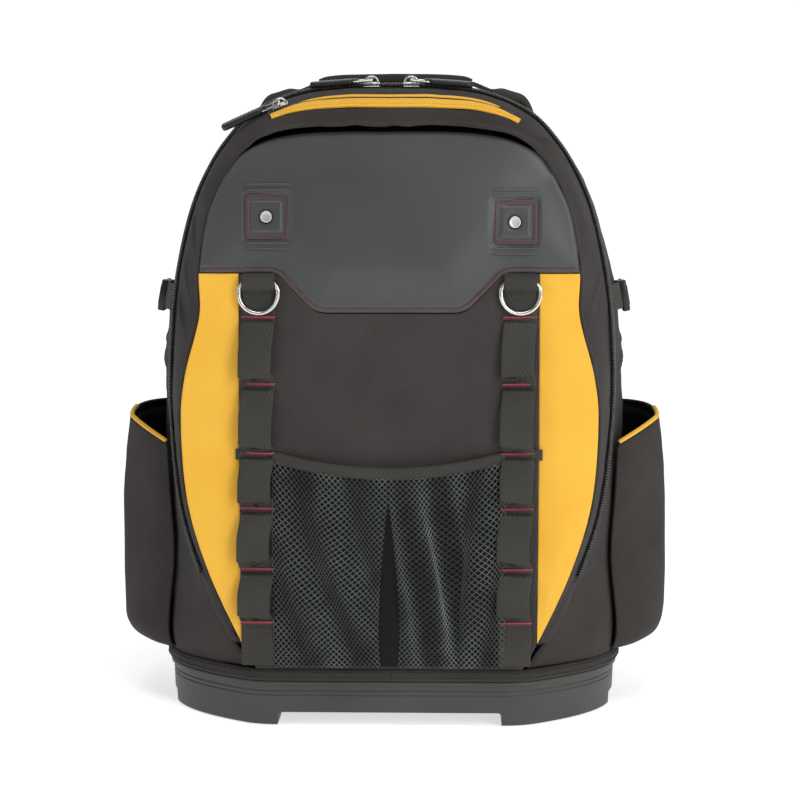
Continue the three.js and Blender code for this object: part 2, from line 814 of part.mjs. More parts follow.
// A flat or padded strap along a curve; across gives the direction of its width at each share of the way
function strap(points, width, wall, steps, across) {
  const path = new THREE.CatmullRomCurve3(points, false, "catmullrom", 0.5);
  const face = (distance) => (u, v) => {
    const tangent = path.getTangentAt(u);
    const wide = across(u);
    wide.addScaledVector(tangent, -wide.dot(tangent)).normalize();
    const normal = tangent.clone().cross(wide);
    const p = path.getPointAt(u).addScaledVector(wide, (v - 0.5) * width);
    return p.addScaledVector(normal, distance);
  };
  return sheet(steps, 2, face(wall / 2), face(-wall / 2));
}
const alongX = () => new THREE.Vector3(1, 0, 0);

// Carry handle, sewn to both shoulders of the bag: bends as shares of its half span and its drop
const handleRibs = [topRow - 3.55, topRow - 3.3]; // where its ends lie on the bag
const handleBends = [
  { share: 0.98, drop: 1.0 },
  { share: 0.86, drop: 0.68 },
  { share: 0.72, drop: 0.47 },
  { share: 0.56, drop: 0.14 },
  { share: 0.33, drop: 0.02 },
];
function handleAcross(rib) {
  const near = shellPoint(rib, handleDepth - handleWidth / 2);
  return shellPoint(rib, handleDepth + handleWidth / 2).sub(near).normalize();
}
function handlePoints() {
  const half = [];
  const along = shellPoint(handleRibs[1], handleDepth).sub(shellPoint(handleRibs[0], handleDepth));
  const out = handleAcross(handleRibs[0]).cross(along).normalize();
  for (const rib of handleRibs) {
    const near = shellPoint(rib, handleDepth - handleWidth / 2);
    const far = shellPoint(rib, handleDepth + handleWidth / 2);
    half.push(near.lerp(far, 0.5).addScaledVector(out, handleWall / 2 + handleSeat));
  }
  const crown = handleRise - handleWall / 2;
  for (const { share, drop } of handleBends) {
    half.push(new THREE.Vector3(share * handleSpan, handleDepth, crown - drop * handleDrop));
  }
  const left = half.map((p) => new THREE.Vector3(-p.x, p.y, p.z)).reverse();
  return [...half, new THREE.Vector3(0, handleDepth, crown), ...left];
}
const handleTurn = (u) => {
  const side = u < 0.5 ? 1 : -1;
  const foot = THREE.MathUtils.smoothstep(Math.abs(2 * u - 1), 0.72, 0.94);
  const seated = handleAcross(handleRibs[0]);
  seated.x *= side;
  return new THREE.Vector3(0, 1, 0).lerp(seated, foot);
};
addPiece("carry_handle", strap(handlePoints(), handleWidth, handleWall, 28, handleTurn), finishes.webbing);

// Zipper sliders with a link and a tab each
const pullLean = THREE.MathUtils.degToRad(4); // the tab leans onto the cloth

function makeSlider() {
  const body = toSolid(block(sliderLength, sliderWidth, sliderHeight, 0, 0, sliderHeight / 2));
  const bridgeHeight = bridgeInside + bridgeWall;
  const bridge = toSolid(
    block(bridgeLength, bridgeWidth, bridgeHeight, 0, 0, sliderHeight + bridgeHeight / 2 - 0.1),
  );
  const window = toSolid(
    block(bridgeLength - 2 * bridgeWall, 2 * bridgeWidth, bridgeInside, 0, 0, sliderHeight + bridgeInside / 2),
  );
  return toGeometry(body.add(bridge).subtract(window));
}

// The link turns about its near bar, which is its origin
function makeLink() {
  const middle = (linkLength - linkWire) / 2;
  const frame = toSolid(block(linkLength, linkWidth, linkWire, middle, 0, 0));
  const inside = linkLength - 2 * linkWire;
  const window = toSolid(block(inside, linkWidth - 2 * linkWire, 2 * linkWire, middle, 0, 0));
  return toGeometry(frame.subtract(window));
}

function makeTab() {
  const farBar = linkLength - linkWire;
  const neckWidth = linkWidth - 2 * linkWire - 2 * gap;
  const shoulder = farBar + linkWire / 2 + 2 * gap;
  const start = farBar - linkWire - 1.6;
  const end = start + pullLength;
  const half = pullWidth / 2;
  const shape = new THREE.Shape();
  shape.moveTo(start, -neckWidth / 2);
  shape.lineTo(shoulder, -neckWidth / 2);
  shape.lineTo(shoulder, -half);
  shape.lineTo(end - half, -half);
  shape.absarc(end - half, 0, half, -Math.PI / 2, Math.PI / 2, false);
  shape.lineTo(shoulder, half);
  shape.lineTo(shoulder, neckWidth / 2);
  shape.lineTo(start, neckWidth / 2);
  shape.closePath();
  const plate = new THREE.ExtrudeGeometry(shape, { depth: pullWall, bevelEnabled: false, curveSegments: 5 });
  plate.translate(0, 0, -pullWall / 2);
  const eye = linkWire + 2 * gap;
  const hole = toSolid(block(eye, 2 * pullWidth, eye, farBar, 0, 0));
  return toGeometry(toSolid(plate).subtract(hole));
}

const seatRows = 5; // the hardware sits within so many rows of the top

// The shell's point, direction and normal at a distance to the side and a depth
function seatOnTop(x, depth) {
  let low = topRow - seatRows;
  let high = topRow + seatRows;
  for (let i = 0; i < 30; i++) {
    const middle = (low + high) / 2;
    if (shellPoint(middle, depth).x > x) low = middle;
    else high = middle;
  }
  const point = shellPoint(low, depth);
  const along = shellPoint(low + 0.1, depth).sub(shellPoint(low - 0.1, depth)).normalize();
  const rearward = shellPoint(low, depth + 2).sub(shellPoint(low, depth - 2)).normalize();
  if (x > 0) along.negate();
  const normal = along.clone().cross(rearward).normalize();
  if (normal.z < 0) normal.negate();
  return { point, along, normal, rearward: normal.clone().cross(along) };
}

const sliders = [
  { name: "left", x: -sliderX, depth: zipperDepth },
  { name: "right", x: sliderX, depth: zipperDepth },
  { name: "pocket", x: -pocketSliderX, depth: weltFront + 4 },
];

for (const { name, x, depth } of sliders) {
  const seat = seatOnTop(x, depth);
  const group = new THREE.Group();
  group.quaternion.setFromRotationMatrix(
    new THREE.Matrix4().makeBasis(seat.along, seat.rearward, seat.normal),
  );
  group.position.copy(seat.point).addScaledVector(seat.normal, 2 * gap);
  backpack.add(group);
  addPiece(`${name}_slider`, makeSlider(), finishes.steel, group);
  const pull = new THREE.Group();
  pull.position.z = sliderHeight + bridgeInside / 2;
  pull.rotation.y = pullLean;
  group.add(pull);
  addPiece(`${name}_pull_link`, makeLink(), finishes.steel, pull);
  addPiece(`${name}_pull_tab`, makeTab(), finishes.plastic, pull);
}

// Side straps with their fastened buckles
const strapStart = zipperDepth + zipperWidth / 2 + 2;
const strapEnd = bodyDepth - 3;
const strapRib = Math.floor(sideStrapRow);
const rowHeight = ribPoint(strapRib, middleDepth).distanceTo(ribPoint(strapRib + 1, middleDepth));
for (const { name, side } of sides) {
  const rowSpan = sideStrapWidth / rowHeight;
  const base = (u, v) => {
    const row = sideStrapRow + (v - 0.5) * rowSpan;
    const depth = THREE.MathUtils.lerp(strapStart, strapEnd, u);
    return shellPoint(side > 0 ? row : ribs - row, depth);
  };
  const lift = (distance) => (u, v) => {
    const p = base(u, v);
    return p.setX(p.x + side * distance);
  };
  const low = 2 * gap;
  addPiece(
    `${name}_side_strap`,
    sheet(8, 1, lift(low + webbingWall), lift(low)),
    finishes.webbing,
  );
  let buckle = toSolid(block(buckleWall, buckleLength, buckleHeight, 0, 0, 0));
  for (const half of [-1, 1]) {
    const z = half * buckleHeight * 0.36;
    const slot = block(2 * buckleWall, buckleLength * 0.42, buckleHeight * 0.14, 0, 0, z);
    buckle = buckle.subtract(toSolid(slot));
  }
  const fastened = addPiece(`${name}_side_buckle`, toGeometry(buckle), finishes.plastic);
  const below = base((buckleDepth - strapStart) / (strapEnd - strapStart), 0);
  const above = base((buckleDepth - strapStart) / (strapEnd - strapStart), 1);
  const lean = Math.atan2(above.x - below.x, above.z - below.z);
  fastened.rotation.y = lean;
  fastened.position.copy(below.lerp(above, 0.5));
  fastened.position.x += side * (low + webbingWall + 2 * gap + buckleWall / 2);
}

// Back: pads, shoulder straps, their webbing and adjusters
const padNear = backFace + gap;

function makePad(width, height, x, z) {
  const bevel = 4;
  const round = 16;
  const w = width / 2 - bevel;
  const h = height / 2 - bevel;
  const shape = new THREE.Shape();
  shape.moveTo(-w + round, -h);
  shape.lineTo(w - round, -h);
  shape.absarc(w - round, -h + round, round, -Math.PI / 2, 0, false);
  shape.absarc(w - round, h - round, round, 0, Math.PI / 2, false);
  shape.absarc(-w + round, h - round, round, Math.PI / 2, Math.PI, false);
  shape.absarc(-w + round, -h + round, round, Math.PI, 1.5 * Math.PI, false);
  const geometry = new THREE.ExtrudeGeometry(shape, {
    depth: padWall - 2 * bevel,
    bevelThickness: bevel,
    bevelSize: bevel,
    bevelSegments: 1,
    curveSegments: 3,
  });
  geometry.rotateX(Math.PI / 2);
  return geometry.translate(x, padNear + padWall - bevel, z);
}

for (const { name, side } of sides) {
  addPiece(
    `${name}_back_pad`,
    makePad(padWidth, padTop - padFoot, side * padX, (padTop + padFoot) / 2),
    finishes.padding,
  );
}
const lumbarZ = padFoot - lumbarSpace - lumbarHeight / 2;
addPiece("lumbar_pad", makePad(2 * lumbarHalf, lumbarHeight, 0, lumbarZ), finishes.padding);

// Bends of a shoulder strap: shares of the way down, of the way out and of its bow
const strapBends = [
  { down: 0.0, out: 0.0, bow: 0.0 },
  { down: 0.04, out: 0.02, bow: 0.08 },
  { down: 0.105, out: 0.09, bow: 0.51 },
  { down: 0.27, out: 0.25, bow: 0.9 },
  { down: 0.467, out: 0.43, bow: 1.0 },
  { down: 0.697, out: 0.64, bow: 0.9 },
  { down: 0.895, out: 0.86, bow: 0.66 },
  { down: 1.0, out: 1.0, bow: 0.53 },
];
// and of the webbing below it, from its adjuster to the bag
const webBends = [
  { down: 0.6, out: 0.5, bow: 0.55 },
  { down: 0.78, out: 0.8, bow: 0.25 },
  { down: 0.9, out: 0.95, bow: 0.03 },
  { down: 1.0, out: 1.0, bow: 0.0 },
];

for (const { name, side } of sides) {
  const at = (x, behind, z) => new THREE.Vector3(side * x, backFace + behind, z);
  const lerp = THREE.MathUtils.lerp;
  const seat = strapWall / 2 + 3 * gap;
  const shoulder = strapBends.map(({ down, out, bow }) =>
    at(lerp(strapTopX, strapFootX, out), lerp(seat, strapBow, bow), lerp(strapTop, strapFoot, down)),
  );
  addPiece(
    `${name}_shoulder_strap`,
    strap(shoulder, strapWidth, strapWall, 20, alongX),
    finishes.padding,
  );
  const end = shoulder[shoulder.length - 1];
  const down = end.clone().sub(shoulder[shoulder.length - 2]).normalize();
  const frame = toSolid(block(adjusterWidth, adjusterWall, adjusterHeight, 0, 0, 0));
  let adjuster = frame;
  for (const half of [-1, 1]) {
    const z = (half * adjusterPitch) / 2;
    const slot = block(webbingWidth + 2 * gap, 2 * adjusterWall, adjusterSlot, 0, 0, z);
    adjuster = adjuster.subtract(toSolid(slot));
  }
  const lock = addPiece(`${name}_strap_adjuster`, toGeometry(adjuster), finishes.plastic);
  lock.quaternion.setFromUnitVectors(new THREE.Vector3(0, 0, -1), down);
  lock.position.copy(end).addScaledVector(down, adjusterHeight / 2 + 2 * gap);
  const below = adjusterHeight + 5 * gap;
  const webSeat = webbingWall / 2 + 2 * gap;
  const webbing = [
    end.clone().addScaledVector(down, below),
    end.clone().addScaledVector(down, below + 2 * adjusterWall),
    ...webBends.map((bend) =>
      at(
        lerp(strapFootX, strapWebX, bend.out),
        lerp(webSeat, strapBow, bend.bow * strapBends[strapBends.length - 1].bow),
        lerp(strapFoot, strapWebFoot, bend.down),
      ),
    ),
  ];
  addPiece(
    `${name}_strap_webbing`,
    strap(webbing, webbingWidth, webbingWall, 12, alongX),
    finishes.webbing,
  );
}

const bounds = new THREE.Box3().setFromObject(backpack);
backpack.position.set(0, -(bounds.min.y + bounds.max.y) / 2, 0);

export default backpack;
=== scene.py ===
# %% [markdown]
# ## A tool backpack
# The bag stands on a moulded tray and is sewn from charcoal polyester, with yellow panels, webbing
# ladders and net pockets on its front. Its solids are already made and measured. This script dresses
# them: it builds each sewn piece as a fine mesh in the same place, and gives every surface its finish.
# Sizes and places are the frame's, so nothing has to be fitted by eye afterwards.

# %% Load the frame
import itertools
import math

import bpy
import numpy as np
from mathutils import Matrix, Vector


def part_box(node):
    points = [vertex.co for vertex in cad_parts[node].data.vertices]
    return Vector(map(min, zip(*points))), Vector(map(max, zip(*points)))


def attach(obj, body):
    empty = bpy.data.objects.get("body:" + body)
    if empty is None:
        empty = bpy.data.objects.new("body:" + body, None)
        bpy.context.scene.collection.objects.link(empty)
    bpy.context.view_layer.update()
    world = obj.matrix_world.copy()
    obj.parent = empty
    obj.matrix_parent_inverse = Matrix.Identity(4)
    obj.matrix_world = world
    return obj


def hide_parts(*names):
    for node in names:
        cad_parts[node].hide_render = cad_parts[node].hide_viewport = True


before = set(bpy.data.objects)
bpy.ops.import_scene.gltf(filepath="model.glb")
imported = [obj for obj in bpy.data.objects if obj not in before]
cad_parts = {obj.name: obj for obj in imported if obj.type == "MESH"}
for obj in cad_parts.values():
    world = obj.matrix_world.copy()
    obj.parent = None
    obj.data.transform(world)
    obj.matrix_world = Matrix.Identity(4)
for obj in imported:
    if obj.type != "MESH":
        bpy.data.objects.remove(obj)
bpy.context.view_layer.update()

# %% [markdown]
# ### Measures
# The bag was drawn in millimetres, with its depth counted from the seam round its front. The same
# sizes come back here, because a sewn mesh has to lie on the same curves as the solid that it
# covers. Only the last step, making a mesh, turns millimetres into metres.

# %% Sizes of the bag, in millimetres
MM, METRE = 0.001, 1000
BODY_WIDTH, BODY_TOP, BODY_DEPTH = 352.0, 468.0, 200.0
MIDDLE_DEPTH, BACK_INSET = 110.0, 18.0
SEAM_WIDTH, SEAM_TOP, DOME = 301.0, 435.0, 12.0
CLOTH_BASE = 42.7
TRAY_HEIGHT, BINDING_HEIGHT = 33.0, 9.0
ZIPPER_DEPTH, ZIPPER_WIDTH = 58.0, 9.0
MOULDED_SIDE, MOULDED_MIDDLE = 331.0, 302.8
YELLOW_INNER = 107.5
LADDER_X, WEBBING = 94.0, 23.6
GAP = 0.35
SIDES = (("left", -1), ("right", 1))

# Half of the outline, from the base to the top centre. Columns: seam x and z, side x and z as shares,
# the roundness of the way from seam to side, and the place of the zipper.
ARCH = np.array([
    (0.645, 0.0, 0.975, 0.0, 2.5, 0.0),
    (0.714, 0.049, 0.982, 0.045, 2.4, 0.04),
    (0.87, 0.181, 0.989, 0.163, 1.3, 0.22),
    (0.97, 0.311, 1.0, 0.283, 1.0, 0.55),
    (1.0, 0.457, 1.0, 0.417, 1.1, 0.79),
    (0.977, 0.548, 0.994, 0.507, 1.3, 0.93),
    (0.905, 0.656, 0.977, 0.611, 1.6, 1.0),
    (0.905, 0.737, 0.937, 0.696, 1.6, 1.0),
    (0.868, 0.83, 0.88, 0.776, 1.7, 1.0),
    (0.805, 0.892, 0.807, 0.842, 2.0, 1.0),
    (0.716, 0.945, 0.71, 0.902, 2.4, 1.0),
    (0.59, 0.981, 0.585, 0.952, 3.0, 1.0),
    (0.42, 0.996, 0.4, 0.985, 3.5, 1.0),
    (0.21, 1.0, 0.2, 0.998, 3.5, 1.0),
    (0.0, 1.0, 0.0, 1.0, 3.5, 1.0),
])
TOP = len(ARCH) - 1
RIBS = 2 * TOP
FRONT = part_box("rear_gusset")[1].y / MM - BODY_DEPTH  # the front seam in the frame's Y
print("front seam at y =", round(FRONT, 2), "mm")

# %% [markdown]
# ### The shape of the bag as a function
# A bag is a few curves joined by cloth. Fifteen ribs a side give the outline, and a smooth curve
# through them gives any point between. With the shape as a function, a fine mesh of any part of
# the bag is only a question of where to read it.

# %% Curves through the outline
def smooth(values, place):
    """A smooth curve through evenly numbered values, read at places that may lie between them."""
    place = np.clip(place, 0, len(values) - 1)
    low = np.minimum(np.floor(place).astype(int), len(values) - 2)
    t = place - low
    ends = (2 * values[0] - values[1], 2 * values[-1] - values[-2])
    v = np.concatenate([[ends[0]], values, [ends[1]]])
    a, b, c, d = v[low], v[low + 1], v[low + 2], v[low + 3]
    return b + 0.5 * t * (c - a + t * (2 * a - 5 * b + 4 * c - d + t * (3 * (b - c) + d - a)))


def over_the_top(column, sign=1):
    """A column of the outline from the right foot over the top to the left foot."""
    half = ARCH[:, column]
    return np.concatenate([half, sign * half[-2::-1]])


SEAM_X, SIDE_X = over_the_top(0, -1), over_the_top(2, -1)
SEAM_Z, SIDE_Z = over_the_top(1), over_the_top(3)
ROUND, ZIP = over_the_top(4), over_the_top(5)


def front_y(x, z):
    """How far the front swells ahead of its seam: negative is forward."""
    across = np.maximum(1 - (x / (SEAM_WIDTH / 2 + 4)) ** 2, 0)
    share = np.clip((z - CLOTH_BASE) / (SEAM_TOP - CLOTH_BASE), 0, 1)
    return -DOME * across * (1 - (2 * share - 1) ** 2)


def seam(rib):
    """The seam round the front, as x, depth and z."""
    x = smooth(SEAM_X, rib) * SEAM_WIDTH / 2
    z = CLOTH_BASE + smooth(SEAM_Z, rib) * (SEAM_TOP - CLOTH_BASE)
    return np.stack([x, front_y(x, z), z], axis=-1)


def shell(rib, depth):
    """The outside of the bag at a rib and a depth."""
    s = seam(rib)
    wide_x = smooth(SIDE_X, rib) * BODY_WIDTH / 2
    wide_z = CLOTH_BASE + smooth(SIDE_Z, rib) * (BODY_TOP - CLOTH_BASE)
    share = np.clip((depth - s[..., 1]) / (MIDDLE_DEPTH - s[..., 1]), 0, 1)
    rounded = 1 - (1 - share) ** smooth(ROUND, rib)
    rear = np.maximum((depth - MIDDLE_DEPTH) / (BODY_DEPTH - MIDDLE_DEPTH), 0) ** 3 * BACK_INSET
    x = (s[..., 0] + (wide_x - s[..., 0]) * rounded) * (1 - rear / (BODY_WIDTH / 2))
    z = s[..., 2] + (wide_z - s[..., 2]) * rounded - CLOTH_BASE
    z = CLOTH_BASE + z * (1 - rear / (BODY_TOP - CLOTH_BASE))
    return np.stack([x, depth + 0 * x, z], axis=-1)


def shell_point(rib, depth):
    return shell(np.array([rib]), np.array([depth]))[0]


# %% [markdown]
# ### Mesh tools
# Sewn goods repeat a few ways of making: a panel is a grid, a cord is a tube along a path, and
# stitches and zipper coils are one small shape copied many times. These helpers build those as
# arrays, which is quick and leaves no stray faces.

# %% Grids, tubes and copies
def unit(v):
    return v / np.maximum(np.linalg.norm(v, axis=-1, keepdims=True), 1e-9)


def flattened(wave, power):
    """A sine or cosine with its round flattened: a power under one squares it off."""
    return np.sign(wave) * np.abs(wave) ** power


def smoothed(loop, reach):
    """A closed line averaged along itself, which rounds its corners."""
    return sum(np.roll(loop, k, axis=0) for k in range(-reach, reach + 1)) / (2 * reach + 1)


def normals_of(grid):
    return unit(np.cross(np.gradient(grid, axis=0), np.gradient(grid, axis=1)))


def grid_faces(rows, columns, closed=False):
    i, j = np.meshgrid(np.arange(rows if closed else rows - 1), np.arange(columns - 1), indexing="ij")
    a = i * columns + j
    b = ((i + 1) % rows) * columns + j
    return np.stack([a, b, b + 1, a + 1], axis=-1).reshape(-1, 4)


def closed_faces(around, along):
    """Faces of a closed band whose points are numbered along it first, with a face over each end."""
    first = [k * along for k in range(around)][::-1]
    last = [k * along + along - 1 for k in range(around)]
    return grid_faces(around, along, closed=True).tolist() + [first, last]


def lumps(points, size, seed):
    """Smooth noise from -1 to 1 at points, one lump to each size."""
    table = np.random.default_rng(seed).uniform(-1, 1, (32, 32, 32))
    p = np.asarray(points, float) / size
    low = np.floor(p).astype(int)
    t = p - low
    t = t * t * (3 - 2 * t)
    total = 0
    for corner in itertools.product((0, 1), repeat=3):
        i = (low + np.array(corner)) % 32
        total = total + np.prod(np.where(corner, t, 1 - t), axis=-1) * table[i[..., 0], i[..., 1], i[..., 2]]
    return total


def lay_of(grid):
    """How the cloth lies: millimetres along, across, and from the nearest cut edge."""
    step_u = np.linalg.norm(np.diff(grid, axis=0), axis=-1)
    step_v = np.linalg.norm(np.diff(grid, axis=1), axis=-1)
    u = np.concatenate([np.zeros((1, grid.shape[1])), np.cumsum(step_u, axis=0)])
    v = np.concatenate([np.zeros((grid.shape[0], 1)), np.cumsum(step_v, axis=1)], axis=1)
    edge = np.minimum(np.minimum(u, u[-1] - u), np.minimum(v, v[:, -1:] - v))
    return np.stack([u, v, edge], axis=-1)


def make_mesh(name, points, faces, finish, body="bag", stands_for=(), lay=None, slot=None):
    """An object from points in millimetres, counted from the front seam."""
    points = np.asarray(points, float).reshape(-1, 3) + (0, FRONT, 0)
    faces = faces.tolist() if isinstance(faces, np.ndarray) else faces
    mesh = bpy.data.meshes.new(name)
    mesh.from_pydata((points * MM).tolist(), [], faces)
    mesh.polygons.foreach_set("use_smooth", [True] * len(mesh.polygons))
    if lay is not None:
        attribute = mesh.attributes.new("lay", "FLOAT_VECTOR", "POINT")
        attribute.data.foreach_set("vector", np.asarray(lay, np.float32).ravel())
    mesh.materials.append(finish)
    obj = bpy.data.objects.new(name, mesh)
    bpy.context.scene.collection.objects.link(obj)
    if stands_for:
        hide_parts(*stands_for)
    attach(obj, body)
    return obj


def cloth(name, grid, wall, finish, outward=1, stands_for=()):
    """A sewn panel: the grid is its outer face, and it is as thick as its wall."""
    faces = grid_faces(*grid.shape[:2])
    if outward < 0:
        faces = faces[:, ::-1]
    obj = make_mesh(name, grid, faces, finish, stands_for=stands_for, lay=lay_of(grid))
    thick = obj.modifiers.new("wall", "SOLIDIFY")
    thick.thickness, thick.offset = wall * MM, -1


def resample(points, shares):
    """Points at shares of the length of a line."""
    points = np.asarray(points, float)
    steps = np.linalg.norm(np.diff(points, axis=0), axis=1)
    length = np.concatenate([[0], np.cumsum(steps)])
    at = np.asarray(shares) * length[-1]
    return np.stack([np.interp(at, length, points[:, k]) for k in range(points.shape[1])], axis=-1)


def spaced(points, pitch):
    """Points every pitch along a line, and the line's direction at each."""
    length = np.linalg.norm(np.diff(points, axis=0), axis=1).sum()
    count = max(int(length / pitch), 1)
    shares = (np.arange(count) + 0.5) / count
    half = 0.3 / count
    return resample(points, shares), unit(resample(points, shares + half) - resample(points, shares - half))


def tube(path, radius, sides=10, closed=False, flat=1.0, up=(0, 0, 1)):
    """A round or flattened rod along a path, as points and faces. The radius may change along it."""
    path = np.asarray(path, float)
    count = len(path)
    if closed:
        tangent = unit(np.roll(path, -1, axis=0) - np.roll(path, 1, axis=0))
    else:
        tangent = unit(np.gradient(path, axis=0))
    normals = np.zeros_like(path)
    turn = unit(np.asarray(up, float) - tangent[0] * np.dot(up, tangent[0]))
    for k in range(count):
        turn = unit(turn - tangent[k] * np.dot(turn, tangent[k]))
        normals[k] = turn
    side = np.cross(tangent, normals)
    radius = np.broadcast_to(radius, (count,))[:, None, None]
    angle = np.linspace(0, 2 * math.pi, sides, endpoint=False)
    ring = np.cos(angle)[None, :, None] * side[:, None]
    ring = ring + flat * np.sin(angle)[None, :, None] * normals[:, None]
    points = (path[:, None] + radius * ring).reshape(-1, 3)
    i, j = np.meshgrid(np.arange(count if closed else count - 1), np.arange(sides), indexing="ij")
    a, b = i * sides + j, i * sides + (j + 1) % sides
    c, d = ((i + 1) % count) * sides + (j + 1) % sides, ((i + 1) % count) * sides + j
    faces = np.stack([a, d, c, b], axis=-1).reshape(-1, 4).tolist()
    if not closed:
        faces.append(list(range(sides)))
        faces.append(list(range(count * sides - 1, (count - 1) * sides - 1, -1)))
    return points, faces


def joined(shapes):
    """Several lists of points and faces as one."""
    points, faces, start = [], [], 0
    for p, f in shapes:
        points.append(np.asarray(p).reshape(-1, 3))
        faces += [[start + k for k in face] for face in f]
        start += len(points[-1])
    return np.concatenate(points), faces


def copies(shape, centres, along, up):
    """One small shape placed many times: its X along one direction, its Z along another."""
    points, faces = shape
    side = unit(np.cross(up, along))
    basis = np.stack([along, side, unit(np.cross(along, side))], axis=-1)
    placed = np.einsum("nij,pj->npi", basis, points) + np.asarray(centres)[:, None]
    shift = (np.arange(len(centres)) * len(points))[:, None, None]
    return placed.reshape(-1, 3), (np.asarray(faces)[None] + shift).reshape(-1, np.shape(faces)[1]).tolist()


def bead(length, width, height):
    """A small rounded bar, lying on its flat underside: a stitch or a tooth of a zipper."""
    rings = []
    for z, share in ((-0.3, 0.8), (0.35, 1.0), (0.8, 0.85), (1.0, 0.45)):
        x, y = share * length / 2, share * width / 2
        rings.append([(-x, -y, z * height), (x, -y, z * height), (x, y, z * height), (-x, y, z * height)])
    faces = [[3, 2, 1, 0], [12, 13, 14, 15]]
    for low in (0, 4, 8):
        faces += [[low + k, low + (k + 1) % 4, low + 4 + (k + 1) % 4, low + 4 + k] for k in range(4)]
    return np.array(rings).reshape(-1, 3), faces


print("outline from", seam(np.array([0.0, TOP])).round(1).tolist())

# %% [markdown]
# ### How the finishes are made
# A material here is a few nodes on one shader. The weave is drawn from the way the cloth lies,
# which each mesh carries in millimetres, so threads follow the panel round a corner as real ones
# do. Colours are read off as sRGB and have to be turned to linear light before a shader may use them.

# %% Colours and nodes
def linear(code):
    """An sRGB hex colour as linear light."""
    parts = [int(code[k:k + 2], 16) / 255 for k in (1, 3, 5)]
    return [c / 12.92 if c <= 0.04045 else ((c + 0.055) / 1.055) ** 2.4 for c in parts] + [1]


def add(tree, kind, settings=None, **links):
    """Adds a node. Settings set its properties or sockets, and links join its sockets to other nodes.

    A link goes by its socket's name, or by the socket's number after an underscore."""
    made = tree.nodes.new(kind)
    for name, value in (settings or {}).items():
        if isinstance(name, str) and hasattr(made, name):
            setattr(made, name, value)
        else:
            made.inputs[name].default_value = value
    for name, source in links.items():
        socket = made.inputs[int(name[1:]) if name[1:].isdigit() else name]
        tree.links.new(source.outputs[0] if isinstance(source, bpy.types.Node) else source, socket)
    return made


def finish_for(name, settings):
    """A new material with its shader's own sockets set, and the tree to add nodes to."""
    material = bpy.data.materials.new(name)
    material.use_nodes = True
    shader = material.node_tree.nodes["Principled BSDF"]
    for socket, value in settings.items():
        shader.inputs[socket].default_value = value
    return material, material.node_tree, shader


def tones(tree, dark, light, size):
    """Two colours mixed by soft noise with lumps of a size in millimetres, as dye and dust vary."""
    place = add(tree, "ShaderNodeNewGeometry")
    noise = add(tree, "ShaderNodeTexNoise", {"Scale": METRE / size, "Detail": 3.0}, Vector=place)
    ramp = add(tree, "ShaderNodeValToRGB", _0=noise)
    ramp.color_ramp.elements[0].position = 0.25
    ramp.color_ramp.elements[0].color = linear(dark)
    ramp.color_ramp.elements[1].position = 0.75
    ramp.color_ramp.elements[1].color = linear(light)
    return ramp


def threads(tree, pitch_u, pitch_v, turned=0.0):
    """The relief of a plain weave, from -1 to 1, with its thread spacings in millimetres."""
    lay = add(tree, "ShaderNodeAttribute", {"attribute_name": "lay"})
    turn = add(tree, "ShaderNodeVectorRotate", {"Angle": math.radians(turned)}, Vector=lay.outputs["Vector"])
    axes = add(tree, "ShaderNodeSeparateXYZ", _0=turn)
    waves = []
    for axis, pitch in (("X", pitch_u), ("Y", pitch_v)):
        turns = math.pi / pitch
        phase = add(tree, "ShaderNodeMath", {"operation": "MULTIPLY", 1: turns}, _0=axes.outputs[axis])
        waves.append(add(tree, "ShaderNodeMath", {"operation": "SINE"}, _0=phase))
    return add(tree, "ShaderNodeMath", {"operation": "MULTIPLY"}, _0=waves[0], _1=waves[1])


def bumped(tree, shader, height, depth):
    """Feeds a relief to the shader, its depth in millimetres."""
    bump = add(tree, "ShaderNodeBump", {"Distance": depth * MM, "Strength": 1.0}, Height=height)
    tree.links.new(bump.outputs[0], shader.inputs["Normal"])


# %% [markdown]
# ### Cloth and webbing
# The body is coarse polyester, about 600 denier, with threads half a millimetre apart. That is finer
# than a pixel of the picture, so the weave is drawn at about one and a half millimetres. Polyester is
# dull from the front and picks up a dry sheen at a glancing angle, which is what the sheen socket
# is for. Webbing is the same yarn packed into thick ribs, so it is a touch glossier.

# %% Woven finishes
def woven(name, dark, light, pitch, relief, roughness, sheen=0.0, turned=0.0, spread=1.0, patch=45,
          play=0.06):
    """Woven polyester: two tones of dye, a thread relief, painted shade and highlight that follow the relief,
    and a sheen at a glance.
    """
    material, tree, shader = finish_for(name, {"Roughness": roughness, "IOR": 1.5, "Sheen Weight": sheen})
    shader.inputs["Specular IOR Level"].default_value = 0.35
    colour = tones(tree, dark, light, patch)
    weave = threads(tree, pitch, pitch * spread, turned)
    # Painted light: the colour is scaled by the weave's relief, lighter on the raised threads as a painted
    # highlight and darker in the hollows as painted shade
    shade = add(tree, "ShaderNodeMapRange", {
        "From Min": -1.0, "From Max": 1.0, "To Min": 1 - play, "To Max": 1 + play}, Value=weave)
    mixed = add(tree, "ShaderNodeVectorMath", {"operation": "SCALE"}, _0=colour, Scale=shade)
    tree.links.new(mixed.outputs[0], shader.inputs["Base Color"])
    bumped(tree, shader, weave, relief)
    return material


body_cloth = woven("body_cloth", "#2b2725", "#363230", 1.6, 0.1, 0.85, sheen=0.03, play=0.03)
# The front panel is a twill: its diagonal shows in the photograph at about three millimetres
panel_cloth = woven("panel_cloth", "#312d2c", "#3b3736", 1.5, 0.14, 0.84,
                    sheen=0.03, turned=38, spread=1.9, play=0.09)
yellow_cloth = woven("yellow_cloth", "#eaae2e", "#f1ba40", 1.3, 0.05, 0.66, sheen=0.04, patch=90, play=0.012)
webbing = woven("webbing", "#2d2c28", "#393834", 1.7, 0.16, 0.72, sheen=0.03, spread=1.5, play=0.1)
